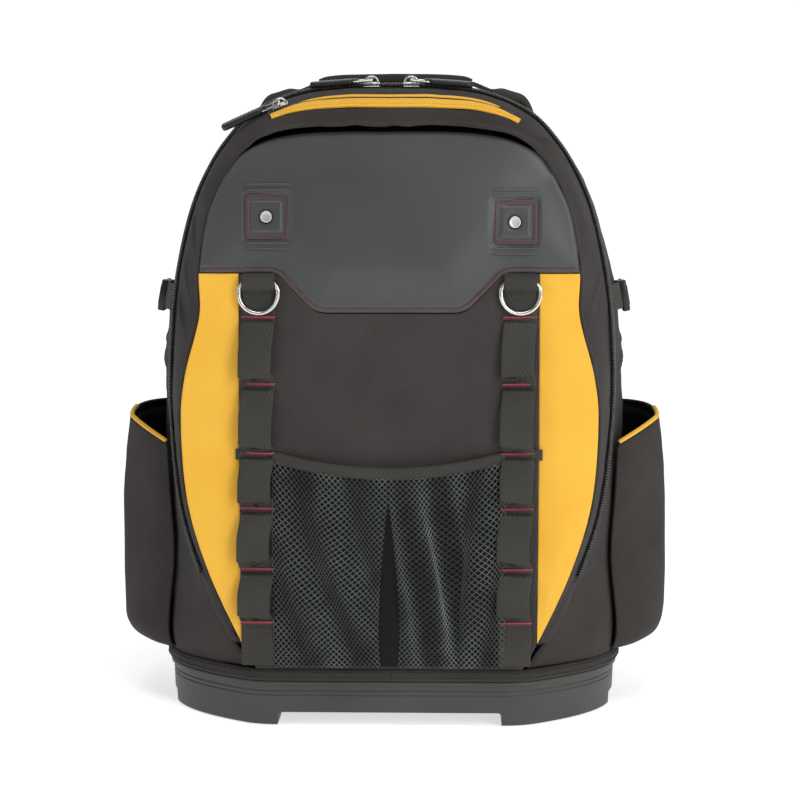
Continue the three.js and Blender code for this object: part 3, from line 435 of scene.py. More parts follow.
# A near-black sheet of painted shade, for cloth that lies in shade behind the net and inside the side pockets
painted_shade_cloth = woven("painted_shade_lining", "#060606", "#0c0c0c", 1.2, 0.1, 0.9)
print("cloth:", [m.name for m in (body_cloth, panel_cloth, yellow_cloth, webbing, painted_shade_cloth)])

# %% [markdown]
# ### Foam, net, rubber, plastic and metal
# The upper front is a sheet of foam pressed in a hot mould, which leaves a closed satin skin. The
# tray is injection moulded rubber with a fine spark-eroded grain. The rings and sliders are steel
# with bright nickel on it: a metal, so its colour is its reflection, and small scratches blur it.

# %% Moulded and plated finishes
def moulded(name, dark, light, roughness, grain, relief, lump=60):
    """A moulded skin: soft changes of tone, a fine grain, and a gloss that the grain breaks up."""
    material, tree, shader = finish_for(name, {"IOR": 1.48})
    colour = tones(tree, dark, light, lump)
    tree.links.new(colour.outputs[0], shader.inputs["Base Color"])
    place = add(tree, "ShaderNodeNewGeometry")
    grit = add(tree, "ShaderNodeTexNoise", {"Scale": METRE / grain, "Detail": 4.0}, Vector=place)
    rough = add(tree, "ShaderNodeMapRange", {
        "To Min": roughness - 0.08, "To Max": roughness + 0.08}, Value=grit)
    tree.links.new(rough.outputs[0], shader.inputs["Roughness"])
    bumped(tree, shader, grit, relief)
    return material


moulded_foam = moulded("moulded_foam", "#3c3f3e", "#434645", 0.4, 0.9, 0.04)
moulded_tray = moulded("moulded_tray", "#353633", "#3f403d", 0.52, 0.7, 0.08)
black_plastic = moulded("black_plastic", "#161615", "#201f1f", 0.36, 0.6, 0.03)
# Slick yarn over black, with painted light in its colour: a painted highlight on the crests of the folds,
# painted shade where a fold would shut out the light
net_yarn, tree, shader = finish_for("netting", {"Roughness": 0.42, "IOR": 1.5})
folds = add(tree, "ShaderNodeAttribute", {"attribute_name": "lay"})
crest = add(tree, "ShaderNodeSeparateXYZ", _0=folds.outputs["Vector"])
painted_fold_light = add(tree, "ShaderNodeMapRange", {
    "From Min": 0.15, "From Max": 0.85, "To Min": 0.35, "To Max": 1.15}, Value=crest.outputs["X"])
tone = tones(tree, "#4c5252", "#7c8282", 16)
yarn = add(tree, "ShaderNodeVectorMath", {"operation": "SCALE"}, _0=tone, Scale=painted_fold_light)
tree.links.new(yarn.outputs[0], shader.inputs["Base Color"])
rim_trim = moulded("rim_trim", "#3f3637", "#4f4646", 0.55, 0.9, 0.05)
red_thread = moulded("red_thread", "#8e2a38", "#b34454", 0.55, 0.5, 0.08)
maroon_thread = moulded("maroon_thread", "#4c1c24", "#6a2a33", 0.6, 0.5, 0.08)
dark_thread = moulded("dark_thread", "#1c1b1a", "#2b2a29", 0.6, 0.5, 0.08)
coil_nylon = moulded("coil_nylon", "#242423", "#454543", 0.32, 0.8, 0.03, lump=5)

nickel_steel, tree, shader = finish_for("nickel_steel", {"Metallic": 1.0, "Base Color": linear("#d4d3cf")})
place = add(tree, "ShaderNodeNewGeometry")
wear = add(tree, "ShaderNodeTexNoise", {"Scale": 900.0, "Detail": 5.0}, Vector=place)
rough = add(tree, "ShaderNodeMapRange", {"To Min": 0.14, "To Max": 0.34}, Value=wear)
tree.links.new(rough.outputs[0], shader.inputs["Roughness"])
bumped(tree, shader, wear, 0.02)

# The rivets are tumbled before plating, which leaves them satin: their reflections are wide and even
satin_steel = finish_for("satin_steel", {
    "Metallic": 1.0, "Base Color": linear("#cfcecb"), "Roughness": 0.46})[0]

# Spacer mesh on the back: knitted cells of about three millimetres over foam, with painted shade in the
# middle of each cell
air_mesh, tree, shader = finish_for("air_mesh", {"Roughness": 0.9, "Sheen Weight": 0.2})
colour = tones(tree, "#1d1d1d", "#2a2a2a", 30)
place = add(tree, "ShaderNodeNewGeometry")
cells = add(tree, "ShaderNodeTexVoronoi", {"Scale": METRE / 3.0, "feature": "DISTANCE_TO_EDGE"}, Vector=place)
# Painted shade: each cell is darkened to about a third towards its middle, while its walls keep their colour
walls = add(tree, "ShaderNodeMapRange", {"From Max": 0.28, "To Min": 1.0, "To Max": 0.35}, Value=cells)
shaded = add(tree, "ShaderNodeVectorMath", {"operation": "SCALE"}, _0=colour, Scale=walls)
tree.links.new(shaded.outputs[0], shader.inputs["Base Color"])
bumped(tree, shader, walls, 0.5)
print("finishes:", len(bpy.data.materials), "materials")

# %% [markdown]
# ### The moulded front panel
# It is one sheet, thick in its middle and pressed thin along its edge where it is sewn. A grid
# stretched between its four edges (a Coons patch) keeps its rows parallel to the seams. The distance
# to the nearest edge then says how thick the foam is at each point.

# %% Stretching a grid between four edges
def fill(bottom, top, left, right, u, v):
    """A grid between four edges of the same corners: u runs along bottom and top, v up left and right."""
    b, t = resample(bottom, u)[:, None], resample(top, u)[:, None]
    l, r = resample(left, v)[None], resample(right, v)[None]
    u, v = np.asarray(u)[:, None, None], np.asarray(v)[None, :, None]
    corners = (1 - u) * (1 - v) * b[0, 0] + u * (1 - v) * b[-1, 0] + (1 - u) * v * t[0, 0] + u * v * t[-1, 0]
    return (1 - v) * b + v * t + (1 - u) * l + u * r - corners


def closer(count, pull=0.55):
    """Shares from 0 to 1 that lie closer together at both ends."""
    t = np.linspace(0, 1, count)
    return (1 - pull) * t + pull * (0.5 - 0.5 * np.cos(math.pi * t))


def line_distance(points, line):
    """How far points lie from a line, both flat."""
    best = np.full(len(points), 1e9)
    for start, end in zip(line[:-1], line[1:]):
        way = end - start
        share = np.clip((points - start) @ way / max(way @ way, 1e-9), 0, 1)
        best = np.minimum(best, np.linalg.norm(points - start - share[:, None] * way, axis=1))
    return best


def eased(x, low, high):
    t = np.clip((x - low) / (high - low), 0, 1)
    return t * t * (3 - 2 * t)


def rounded_line(points, radius):
    """A line with its corners rounded by averaging along it, one point to a millimetre."""
    length = np.linalg.norm(np.diff(points, axis=0), axis=1).sum()
    line = resample(points, np.linspace(0, 1, int(length)))
    reach = int(radius)
    padded = np.concatenate([np.repeat(line[:1], reach, axis=0), line, np.repeat(line[-1:], reach, axis=0)])
    weights = np.ones(2 * reach + 1) / (2 * reach + 1)
    middle = np.stack([np.convolve(padded[:, k], weights, "valid") for k in range(2)], axis=-1)
    middle[0], middle[-1] = line[0], line[-1]
    return middle


def seam_flat(low, high, count=160):
    return seam(np.linspace(low, high, count))[:, (0, 2)]


# Edges of the moulded panel, flat in x and z
side_rib = np.interp(MOULDED_SIDE, seam(np.linspace(4, 9, 400))[:, 2], np.linspace(4, 9, 400))
CORNER = 9.5
side_edge = seam_flat(side_rib, CORNER)
side_x = side_edge[0, 0]
lower_edge = rounded_line(np.array([
    (-side_x, MOULDED_SIDE), (-79.5, MOULDED_SIDE), (-52.0, MOULDED_MIDDLE),
    (53.5, MOULDED_MIDDLE), (82.0, MOULDED_SIDE), (side_x, MOULDED_SIDE),
]), 7)
# The sheet ends a little below the seam over the top, in the shade of the cloth that hangs over it
SHADE = (412, 432)  # the heights between which that shade sets in
upper_edge = seam_flat(RIBS - CORNER, CORNER, 300)
for edge in (upper_edge, side_edge):
    edge[:, 1] -= 3.4 * eased(edge[:, 1], *SHADE)
left_edge = side_edge * (-1, 1)
print("moulded panel:", round(2 * side_x), "mm wide at its foot")

# %% The moulded panel itself
RIM, PATCH_SIDE = 3.4, 31.0
DENT_RADIUS, DENT_DEPTH = 27, 1.9
PATCHES = {"left": (-86.8, 371.0), "right": (89.9, 367.2)}


def foam_lift(flat):
    """How far the moulded sheet stands off the bag: a thin edge, a stitched groove at its foot, a swell."""
    low = line_distance(flat, lower_edge)
    others = [line_distance(flat, edge) for edge in (side_edge, left_edge, upper_edge)]
    # Adding up inverse powers gives the least distance, but without a sharp ridge in the corners
    inside = sum(np.maximum(d, 0.05) ** -3 for d in (low, *others)) ** (-1 / 3)
    lift = 2.6 - 1.6 * np.exp(-inside / 0.7) - 0.8 * np.exp(-((low - RIM) / 0.8) ** 2)
    lift += 4.6 * eased(inside, 0.5, 36) - 2.4 * np.exp(-others[2] / 4)
    for x, z in PATCHES.values():
        off = np.linalg.norm(flat - (x, z), axis=1)
        lift -= DENT_DEPTH * np.exp(-(off / DENT_RADIUS) ** 2)
        square = np.max(np.abs(flat - (x, z)), axis=1) - PATCH_SIDE / 2
        lift -= 0.9 * (1 - eased(square, 0.6, 2.6))
    return lift + 0.35 * lumps(np.c_[flat, 0 * flat[:, 0]], 60, 3)


grid = fill(lower_edge, upper_edge, left_edge, side_edge, closer(160), closer(86))
flat = grid.reshape(-1, 2)
depth = front_y(flat[:, 0], flat[:, 1]) - foam_lift(flat)
foam = np.stack([flat[:, 0], depth, flat[:, 1]], axis=-1).reshape(*grid.shape[:2], 3)
cloth("moulded_front", foam, 0.9, moulded_foam, stands_for=["moulded_panel"])
print("foam swells to", round(float(depth.min()), 1), "mm ahead of the seam")

# %% [markdown]
# ### Stitches and pressed bars
# A row of stitches is one small rounded bar copied along a line, each turned to follow it. Making
# them as geometry costs little and they catch the light, which a drawn line would not. The bars
# over and under each patch are pressed into the foam, so they are rods sunk to half their height.

# %% Lines on the moulded panel
def on_foam(flat, above=0.0):
    """Places on the moulded panel's surface, from flat x and z."""
    flat = np.asarray(flat, float)
    depth = front_y(flat[:, 0], flat[:, 1]) - foam_lift(flat) - above
    return np.stack([flat[:, 0], depth, flat[:, 1]], axis=-1)


def sew(name, line, pitch, thread, length=2.2, width=0.8, height=0.45, up=(0, -1, 0)):
    """A row of stitches along a line of points."""
    centres, along = spaced(line, pitch)
    points, faces = copies(bead(length, width, height), centres, along, np.broadcast_to(up, along.shape))
    make_mesh(name, points, faces, thread, slot="body_cloth")


inset_edge = lower_edge[4:-4] + (0, RIM)
trim_line = on_foam(lower_edge[3:-3] + (0, 1.7), -0.35)
trim = tube(trim_line, 1.5, flat=0.5, up=(0, -1, 0))
make_mesh("panel_trim", *trim, rim_trim, slot="moulded_foam")
sew("panel_stitches", on_foam(inset_edge, 0.05), 3.0, maroon_thread, length=2.2, width=1.1)

BARS_AWAY, BAR_HALF, BAR_RADIUS = (18.6, 22.8, -18.9, -22.8), 17, 1.15
bars = []
for x, z in PATCHES.values():
    for away in BARS_AWAY:
        line = np.stack([np.linspace(x - BAR_HALF, x + BAR_HALF, 24), np.full(24, z + away)], axis=-1)
        ends = np.sqrt(np.clip(1 - np.abs(np.linspace(-1, 1, 24)) ** 6, 0.02, 1))
        bars.append(tube(on_foam(line, -0.1), BAR_RADIUS * ends, sides=8))
make_mesh("pressed_bars", *joined(bars), moulded_foam)

# %% [markdown]
# ### Patches and rivets
# Each patch is a small padded square, stitched round its edge and pulled in by its rivet. Its
# thickness is again a function of place: thin at the edge, full inside, dented round the rivet.

# %% Patches
PATCH_BASE = 3.1


def add_patch(name, x, z):
    half = PATCH_SIDE / 2
    count = 44
    share = (closer(count, 0.4) - 0.5) * 2
    u, v = np.meshgrid(share, share, indexing="ij")
    corner = 1 - 0.035 * (np.abs(u) * np.abs(v)) ** 4
    flat = np.stack([x + u * half * corner, z + v * half * corner], axis=-1).reshape(-1, 2)
    inside = half * (1 - np.max(np.abs(np.stack([u, v])), axis=0)).ravel()
    off = np.linalg.norm(flat - (x, z), axis=1)
    lift = PATCH_BASE + 1.5 - 1.1 * np.exp(-inside / 0.45)
    lift -= 0.5 * np.exp(-((inside - 3.6) / 0.5) ** 2)
    lift += 0.8 * eased(inside, 3.6, 6.5) - 0.9 * np.exp(-(off / 5.6) ** 2)
    y = front_y(flat[:, 0], flat[:, 1]) - lift
    pad = np.stack([flat[:, 0], y, flat[:, 1]], axis=-1).reshape(count, count, 3)
    cloth(f"{name}_patch_pad", pad, 1.0, moulded_foam, stands_for=[f"{name}_patch"])
    # A flat tape is bound round the edge and stitched through
    square = np.array([(-1, -1), (1, -1), (1, 1), (-1, 1), (-1, -1)]) * (half - 1.5) + (x, z)
    line = resample(square, np.linspace(0, 1, 97))[:-1]
    line = smoothed(line, 1)
    line = np.stack([line[:, 0], front_y(line[:, 0], line[:, 1]) - PATCH_BASE - 1.3, line[:, 1]], axis=-1)
    tape = tube(line, 1.7, closed=True, flat=0.35, up=(0, -1, 0))
    make_mesh(f"{name}_patch_tape", *tape, rim_trim, slot="moulded_foam")
    row = np.concatenate([line, line[:1]]) - (0, 0.55, 0)
    sew(f"{name}_patch_stitches", row, 2.9, maroon_thread, width=0.95, height=0.5)


for name, (x, z) in PATCHES.items():
    add_patch(name, x, z)


# %% Rivets
def turned(profile, centre, axis):
    """A turned piece: its profile of radius and height, round an axis at a centre."""
    sides = 48
    axis = unit(np.asarray(axis, float))
    first = unit(np.cross(axis, (0.0, 0.0, 1.0) if abs(axis[2]) < 0.9 else (1.0, 0.0, 0.0)))
    second = np.cross(axis, first)
    angle = np.linspace(0, 2 * math.pi, sides, endpoint=False)
    ring = np.cos(angle)[:, None] * first + np.sin(angle)[:, None] * second
    r, h = np.asarray(profile, float).T
    points = ring[:, None] * r[None, :, None] + h[None, :, None] * axis + centre
    return points.reshape(-1, 3), closed_faces(sides, len(r))


RIVET_PROFILE = [(4.2, -0.6), (4.2, 0.5), (4.0, 0.9), (3.5, 1.05), (3.2, 0.95), (2.9, 0.85), (1.5, 0.85),
                 (0.05, 0.85)]
# A black ring sits round each rivet head
DARK_RING_PROFILE = [(5.2, -0.6), (5.2, 0.0), (5.0, 0.3), (4.6, 0.25), (4.3, -0.4)]
for name, (x, z) in PATCHES.items():
    low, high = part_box(f"{name}_rivet")
    seat = np.array([x - 0.4, high.y / MM - FRONT - 0.7, z])
    axis = (0.02 * np.sign(x), -1, 0.02)
    head, dark_ring = turned(RIVET_PROFILE, seat, axis), turned(DARK_RING_PROFILE, seat, axis)
    make_mesh(f"{name}_rivet_head", *head, satin_steel, stands_for=[f"{name}_rivet"])
    make_mesh(f"{name}_rivet_ring", *dark_ring, black_plastic)

# %% [markdown]
# ### The cloth of the front
# Below the moulded sheet the front is three flat panels: twill in the middle and yellow polyester
# at both sides. Cloth that is sewn down all round puckers: it lies low along its seams and swells
# a little between the stitches, most where two seams meet.

# %% Twill and yellow panels
LAYER, FRONT_WALL, BAND_WALL = 2.0, 0.9, 1.4


def puckered(grid, wall, depth, seed, swell=0.5):
    """Moves a flat panel forward: low at its edges, swelling and rippling inside."""
    lay = lay_of(grid)
    edge = lay[..., 2]
    ripple = lumps(grid * (1, 0, 0.55), 34, seed) + 0.4 * lumps(grid * (1, 0, 0.7), 34 / 2.6, seed + 1)
    seams = np.exp(-edge / 9) * np.sin(lay[..., 1] / 3.4 + 2 * lumps(grid, 22, seed + 2)) * 0.18
    moved = grid.copy()
    moved[..., 1] -= wall + swell * eased(edge, 0.5, 16) + depth * ripple * eased(edge, 1, 18) + seams
    return moved


def on_front(flat):
    return np.stack([flat[..., 0], front_y(flat[..., 0], flat[..., 1]), flat[..., 1]], axis=-1)


def seam_x(z):
    """Half the width of the front inside its seam at a height."""
    ribs = np.linspace(0, 9, 700)
    s = seam(ribs)
    return np.interp(z, s[:, 2], s[:, 0])


# The twill panel reaches from the base to the moulded sheet, between the yellow panels
def twill_edges():
    heights = np.linspace(CLOTH_BASE, MOULDED_SIDE - 0.5, 200)
    half = np.minimum(YELLOW_INNER, seam_x(heights) - 0.2)
    right = np.stack([half, heights], axis=-1)
    top = rounded_line(np.array([
        (-YELLOW_INNER, MOULDED_SIDE - 0.5), (-79.2, MOULDED_SIDE - 0.5), (-51.8, MOULDED_MIDDLE - 0.5),
        (53.3, MOULDED_MIDDLE - 0.5), (81.7, MOULDED_SIDE - 0.5), (YELLOW_INNER, MOULDED_SIDE - 0.5),
    ]), 7)
    bottom = np.array([(-half[0], CLOTH_BASE), (half[0], CLOTH_BASE)])
    return bottom, top, right * (-1, 1), right


shares = np.linspace(0, 1, 105)
twill = on_front(fill(*twill_edges(), shares, shares))
cloth("twill_panel", puckered(twill, LAYER, 0.3, 11), FRONT_WALL, panel_cloth, stands_for=["front_panel"])

for name, side, seed in (("left", -1, 21), ("right", 1, 25)):
    heights = np.linspace(62.5, MOULDED_SIDE - 0.5, 140)
    outer = np.maximum(seam_x(heights) - 0.1, YELLOW_INNER + 0.3)
    u = np.linspace(0, 1, 30)[:, None]
    x = side * (YELLOW_INNER + (outer - YELLOW_INNER) * u)
    panel = on_front(np.stack([x, np.broadcast_to(heights, x.shape)], axis=-1))
    panel = puckered(panel, LAYER + 0.1, 0.35, seed, swell=0.9)
    cloth(f"{name}_yellow_front", panel, FRONT_WALL, yellow_cloth, outward=side,
          stands_for=[f"{name}_yellow_panel"])

# %% [markdown]
# ### Webbing ladders
# One strap runs down each side and is tacked to the cloth at six places, with a little slack between,
# so tools can be clipped to it. Gravity pulls the slack down: each loop hangs over the tack
# below it and tucks back in with a sharp fold. The ribs of the webbing are real ridges here.

# %% Ladder straps
TACKS = CLOTH_BASE + np.array([0.892, 0.726, 0.553, 0.414, 0.26, 0.123]) * (MOULDED_SIDE - CLOTH_BASE)
LADDER_TOP, LADDER_FOOT, FOLD = MOULDED_SIDE - 0.7, CLOTH_BASE + 3, 12.0
RIB_PITCH, RIB_HEIGHT = 1.7, 0.16


def ladder_line(seed, lean_to):
    """The strap's middle line: height, how far it stands off, its drift to the side, and its tilt."""
    rng = np.random.default_rng(seed)
    share = np.linspace(0, 1, 26)[:-1]
    rows = [(LADDER_TOP - FOLD * s, 7.4 * math.sin(math.pi * s) ** 0.55, 0, 0) for s in share]
    rows += [(z, 0, 0, 0) for z in np.linspace(LADDER_TOP - FOLD, TACKS[0] + 1, 8)]
    ends = [*TACKS, LADDER_FOOT]
    for start, end in zip(ends[:-1], ends[1:]):
        slack, tilt, lean = rng.uniform(7.6, 9.8), rng.uniform(-2.8, 0.8), lean_to * rng.uniform(0.2, 1.0)
        if end == LADDER_FOOT:
            slack, tilt, lean = 1.0, 0.0, 0.0
        length = start - end
        hem = length - rng.uniform(8.0, 10.0)
        t = np.concatenate([np.linspace(0, hem, 50), np.linspace(hem + 0.3, length, 24)[:-1]])
        stand = 0.4 * slack * eased(t, 3.2, 5.0) + 0.6 * slack * eased(t, 4.2, 0.85 * hem)
        stand = stand * (1 - 0.82 * eased(t, hem, hem + 1.2)) * (1 - eased(t, hem + 1.0, length - 1.5))
        along = eased(t, 1.0, 0.7 * hem) * (1 - eased(t, hem + 0.5, length - 2))
        droop = 0.3 * slack * eased(t, 0.5 * hem, hem) * (1 - eased(t, hem + 0.2, length - 1))
        rows += np.stack([start - t - droop, stand, lean * along, tilt * along], axis=-1).tolist()
    rows.append((LADDER_FOOT, 0, 0, 0))
    return np.array(rows)


def ribbon(line, width, wall, along_x):
    """A closed band of webbing: rounded edges, and a ridge for each weft thread across it."""
    count = max(int(np.linalg.norm(np.diff(line, axis=0), axis=1).sum() / (RIB_PITCH / 4)), 8)
    shares = np.linspace(0, 1, count)
    path = resample(line, shares)
    tangent = unit(np.gradient(path, axis=0))
    across = unit(along_x - tangent * np.sum(tangent * along_x, axis=1, keepdims=True))
    normal = np.cross(across, tangent)
    weft = RIB_HEIGHT * np.abs(np.sin(math.pi * np.arange(count) / 4))
    sides = 18
    angle = np.linspace(0, 2 * math.pi, sides, endpoint=False)
    a, b = flattened(np.cos(angle), 0.35) * (width / 2), flattened(np.sin(angle), 0.6)
    thick = wall / 2 + weft[:, None] * (np.abs(b) > 0.3)
    points = path[:, None] + a[None, :, None] * across[:, None] + (b * thick)[..., None] * normal[:, None]
    order = points.transpose(1, 0, 2)
    u = np.broadcast_to((shares * count * RIB_PITCH / 4)[None], order.shape[:2])
    lay = np.stack([np.broadcast_to(a[:, None], order.shape[:2]), u, 0 * u], axis=-1)
    *faces, first, last = closed_faces(sides, count)
    return order, [*faces, first[::-1], last[::-1]], lay


def rounded_slab(size):
    """A thin block with rounded long edges: a short end of webbing."""
    x, y, z = np.array(size) / 2
    angle = np.linspace(0, 2 * math.pi, 20, endpoint=False)
    a, b = flattened(np.cos(angle), 0.4) * x, flattened(np.sin(angle), 0.7) * y
    rings = [np.stack([a, b, np.full(20, height)], axis=-1) for height in (-z, -z + 0.3, z - 0.3, z)]
    points = np.stack(rings, axis=1)
    points[:, (0, 3)] *= (0.9, 0.7, 1)
    return points.reshape(-1, 3), closed_faces(20, 4)


def ladder_shift(side, z):
    """The straps aren't sewn on quite square: both run a little to the left on their way down."""
    return 0.6 - 0.7 * side - 3.0 * (LADDER_TOP - z) / (LADDER_TOP - LADDER_FOOT)


for name, side, seed in (("left", -1, 5), ("right", 1, 8)):
    z, stand, drift, tilt = ladder_line(seed, -3.2).T
    z = np.maximum(z, LADDER_FOOT)
    drift = drift + ladder_shift(side, z)
    x = side * LADDER_X + drift
    path = np.stack([x, front_y(x, z) - LAYER - 1.6 - stand, z, tilt], axis=-1)
    points, faces, lay = ribbon(path[:, :3], WEBBING, 1.5, np.array([1.0, 0, 0]))
    tilts = np.interp(points[..., 2], np.sort(z), tilt[np.argsort(z)])
    points[..., 2] += tilts * lay[..., 0] / (WEBBING / 2)
    make_mesh(f"{name}_ladder_strap", points, faces, webbing, stands_for=[f"{name}_ladder"], lay=lay)
    parts, under = [], []
    for height in TACKS:
        xs = np.linspace(-11.4, 11.4, 26) + side * LADDER_X + ladder_shift(side, height)
        centres = np.stack([xs, front_y(xs, height) - LAYER - 2.45, np.full(26, height)], axis=-1)
        along = np.broadcast_to(unit(np.array([0.9, 0, 0.3])), centres.shape)
        facing = np.broadcast_to((0, -1.0, 0), along.shape)
        parts.append(copies(bead(1.5, 0.95, 0.8), centres, along, facing))
        # A second, darker row of maroon thread just below each tack is the tack's painted shadow
        under.append(copies(bead(1.5, 0.9, 0.5), centres - (0.3, 0, 1.05), along, facing))
    make_mesh(f"{name}_ladder_tacks", *joined(parts), red_thread, slot="webbing")
    make_mesh(f"{name}_ladder_tack_shadow", *joined(under), maroon_thread, slot="webbing")
    low_tab, tab_z = side * (LADDER_X + 13.0), TACKS[2] - 1
    tab, tab_faces = rounded_slab((6.5, 1.8, 8.0))
    tab_y = front_y(low_tab, tab_z) - LAYER - 2.0
    make_mesh(f"{name}_ladder_tab", tab + (low_tab, tab_y, tab_z), tab_faces, webbing)
    print(name, "ladder:", len(points.reshape(-1, 3)), "points")

# %% [markdown]
# ### Rings
# A D-ring is one bent rod, welded at its straight bar. It turns in the fold of the webbing, so each
# ring rides on a body of its own. The rod is a tube along a path: two short legs, a half circle and
# the bar, closed on itself.

# %% D-rings
RING_WIDTH, RING_WIRE, RING_DROP = 31.5, 3.2, 23.6
RING_Z = LADDER_TOP - FOLD / 2


def add_ring(name, side):
    half = (RING_WIDTH - RING_WIRE) / 2
    straight = RING_DROP - RING_WIRE / 2 - half
    angle = np.linspace(0, math.pi, 40)
    bow = np.stack([-half * np.cos(angle), 0 * angle, -straight - half * np.sin(angle)], axis=-1)
    foot = [(half, 0, -4.0), (half - 3.2, 0, 0), (-half + 3.2, 0, 0)]
    loop = np.concatenate([[(-half, 0, -4.0)], bow, foot])
    loop = resample(np.concatenate([loop, loop[:1]]), np.linspace(0, 1, 121))[:-1]
    loop = smoothed(loop, 3)
    low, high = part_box(f"{name}_d_ring")
    slope = math.atan2(side * 0.0765, 1.0)
    turn = np.array(Matrix.Rotation(slope, 3, "Z"))
    y = (low.y + high.y) / 2 / MM - FRONT
    centre = np.array([side * LADDER_X + ladder_shift(side, RING_Z), y, RING_Z])
    points, faces = tube(loop @ turn.T + centre, RING_WIRE / 2, sides=14, closed=True, up=(0, 1, 0.2))
    make_mesh(f"{name}_ring", points, faces, nickel_steel, body=f"{name}_ring", stands_for=[f"{name}_d_ring"])


for name, side in SIDES:
    add_ring(name, side)

# %% [markdown]
# ### Net pockets
# The net is knitted yarn with holes of about four millimetres, far too open to fake with bump. Two
# families of zigzag strands that touch where they meet give its diamond cells. The strands follow
# a shape function of the pocket: it bags out in the middle and folds where the slack has gone.

# %% The pockets' shape
MESH_EDGE, MESH_TOP, MESH_SAG, BAND = 84.0, 204.0, 11.0, 8.6
SLIT_TOP, SLIT_WIDTH, NET_FOOT = 167.0, 12.0, CLOTH_BASE + 2


def band_top(x):
    return MESH_TOP - MESH_SAG * (1 - (x / MESH_EDGE) ** 2)


def mouth_stand(x):
    return 0.8 + 8.0 * (1 - (x / MESH_EDGE) ** 2)


def ridge(phase):
    """A wave with narrow crests and wide valleys, from -1 to 1."""
    return 2 * (0.5 + 0.5 * np.cos(phase)) ** 1.6 - 0.9


def net_point(side, u, v):
    """A place on a net pocket: u from the ladder in to the slit, v from its mouth down to its foot."""
    top = band_top(side * MESH_EDGE * (1 - u)) - BAND + 1.0
    z = top + (NET_FOOT - top) * v
    fall = np.clip((SLIT_TOP - z) / (SLIT_TOP - NET_FOOT), 0, 1)
    slit = SLIT_WIDTH * fall ** 0.9 * (1 - 0.5 * fall ** 3)
    bulge = np.sin(math.pi * np.clip(v, 0, 1)) ** 0.8
    inside = np.sin(math.pi * np.clip(u, 0, 1)) ** 0.5
    # Slack gathers into folds that run down and towards the slit, or meet in a chevron on the right
    if side < 0:
        run = 2 * math.pi * (2.1 * u - 1.15 * v + 0.12 * np.sin(5 * v))
        small = 2 * math.pi * (4.3 * u - 1.7 * v)
    else:
        run = 2 * math.pi * (1.5 * np.abs(u - 0.42) * 2 + 0.75 * v)
        small = 2 * math.pi * (4.6 * u + 0.9 * v)
    fold = (3.4 * ridge(run) + 1.1 * ridge(small)) * inside * (0.25 + 0.75 * bulge)
    shift = 2.8 * np.sin(run) * inside * bulge
    x = side * (MESH_EDGE + (slit + 0.3 - MESH_EDGE) * u) + shift
    belly = 12.0 * np.sin(math.pi * (0.1 + 0.85 * u)) ** 0.8
    foot = 1 + 2.5 * np.sin(math.pi * u)
    plain = (mouth_stand(x) + 0.4) * (1 - v) + foot * v
    stand = plain + (1 + belly - plain) * 0.75 * bulge + fold
    place = np.stack([x, front_y(x, z) - LAYER - np.maximum(stand, 0.9) - 0.6, z], axis=-1)
    # The second value is how near a fold's crest the place lies: the netting finish paints its shade and
    # highlight from it
    return place, 0.5 + 0.5 * np.cos(run) * inside


# %% Strands of the net
CELL_W, CELL_H, STRAND = 3.7, 4.6, 0.27
net_width, net_height = MESH_EDGE - SLIT_WIDTH / 2, MESH_TOP - NET_FOOT - BAND


def add_net(name, side):
    columns, rows = int(net_width / CELL_W), int(net_height / (CELL_H / 2))
    shapes, crests = [], []
    v = np.linspace(0, 1, 2 * rows + 1)
    beat = np.abs((np.arange(2 * rows + 1) / 2) % 2 - 1)
    swing = eased(beat, 0.1, 0.9)
    for strand in range(columns):
        for start in (0, 1):
            zigzag = swing if start else 1 - swing
            u = np.clip((strand + 0.5 * start + 0.5 * zigzag) / columns, 0, 1)
            path, crest = net_point(side, u, v)
            path[:, 1] -= 0.12 * (1 if start else -1)
            shapes.append(tube(path, STRAND, sides=4, up=(1, 0, 0)))
            crests.append(np.repeat(crest, 4))
    points, faces = joined(shapes)
    # The crests go to the netting finish in the lay attribute's first value, as painted shade and highlight
    lay = np.zeros((len(points), 3))
    lay[:, 0] = np.concatenate(crests)
    make_mesh(f"{name}_net", points, faces, net_yarn, stands_for=[f"{name}_mesh_pocket"], lay=lay)
    print(name, "net:", len(faces), "faces")


for name, side in SIDES:
    add_net(name, side)

# %% Binding over the mouth of the net, and a near-black sheet of painted shade behind it
xs = np.linspace(-MESH_EDGE, MESH_EDGE, 120)[:, None]
down = np.linspace(0, 1, 12)[None]
z = band_top(xs) - BAND * down
stand = mouth_stand(xs) + 0.6 + 1.5 * np.sin(math.pi * down) ** 0.5
x = np.broadcast_to(xs, z.shape)
band = np.stack([x, front_y(x, z) - LAYER - stand, z], axis=-1)
cloth("pocket_band", band, 2.4, webbing, outward=-1, stands_for=["mesh_binding"])

# Behind the net the front cloth lies in shade: this near-black sheet paints that shade
xs = np.linspace(-MESH_EDGE, MESH_EDGE, 60)[:, None]
z = NET_FOOT + (band_top(xs) - 9 - NET_FOOT) * np.linspace(0, 1, 60)[None]
x = np.broadcast_to(xs, z.shape)
back = np.stack([x, front_y(x, z) - LAYER - 1.25, z], axis=-1)
cloth("painted_shade_lining", back, 0.4, painted_shade_cloth)

# %% [markdown]
# ### The gussets
# Between the front and the back runs a wide band of the same polyester, in two parts with the zipper
# between them. It is stuffed like a cushion: full half way, and drawn in along its seams, where the
# thread gathers the cloth into small puckers. Creases gather where the band bends most.

# %% A strip of the shell, with puckers and creases
def zip_depth(rib):
    return smooth(ZIP, rib) * ZIPPER_DEPTH


def zip_half(rib):
    return np.minimum(ZIPPER_WIDTH / 2, 0.4 * np.maximum(zip_depth(rib), 0) + 0.3)


def gusset_rear(rib):
    return np.maximum(zip_depth(rib) - zip_half(rib), seam(rib)[..., 1] + 1.0)


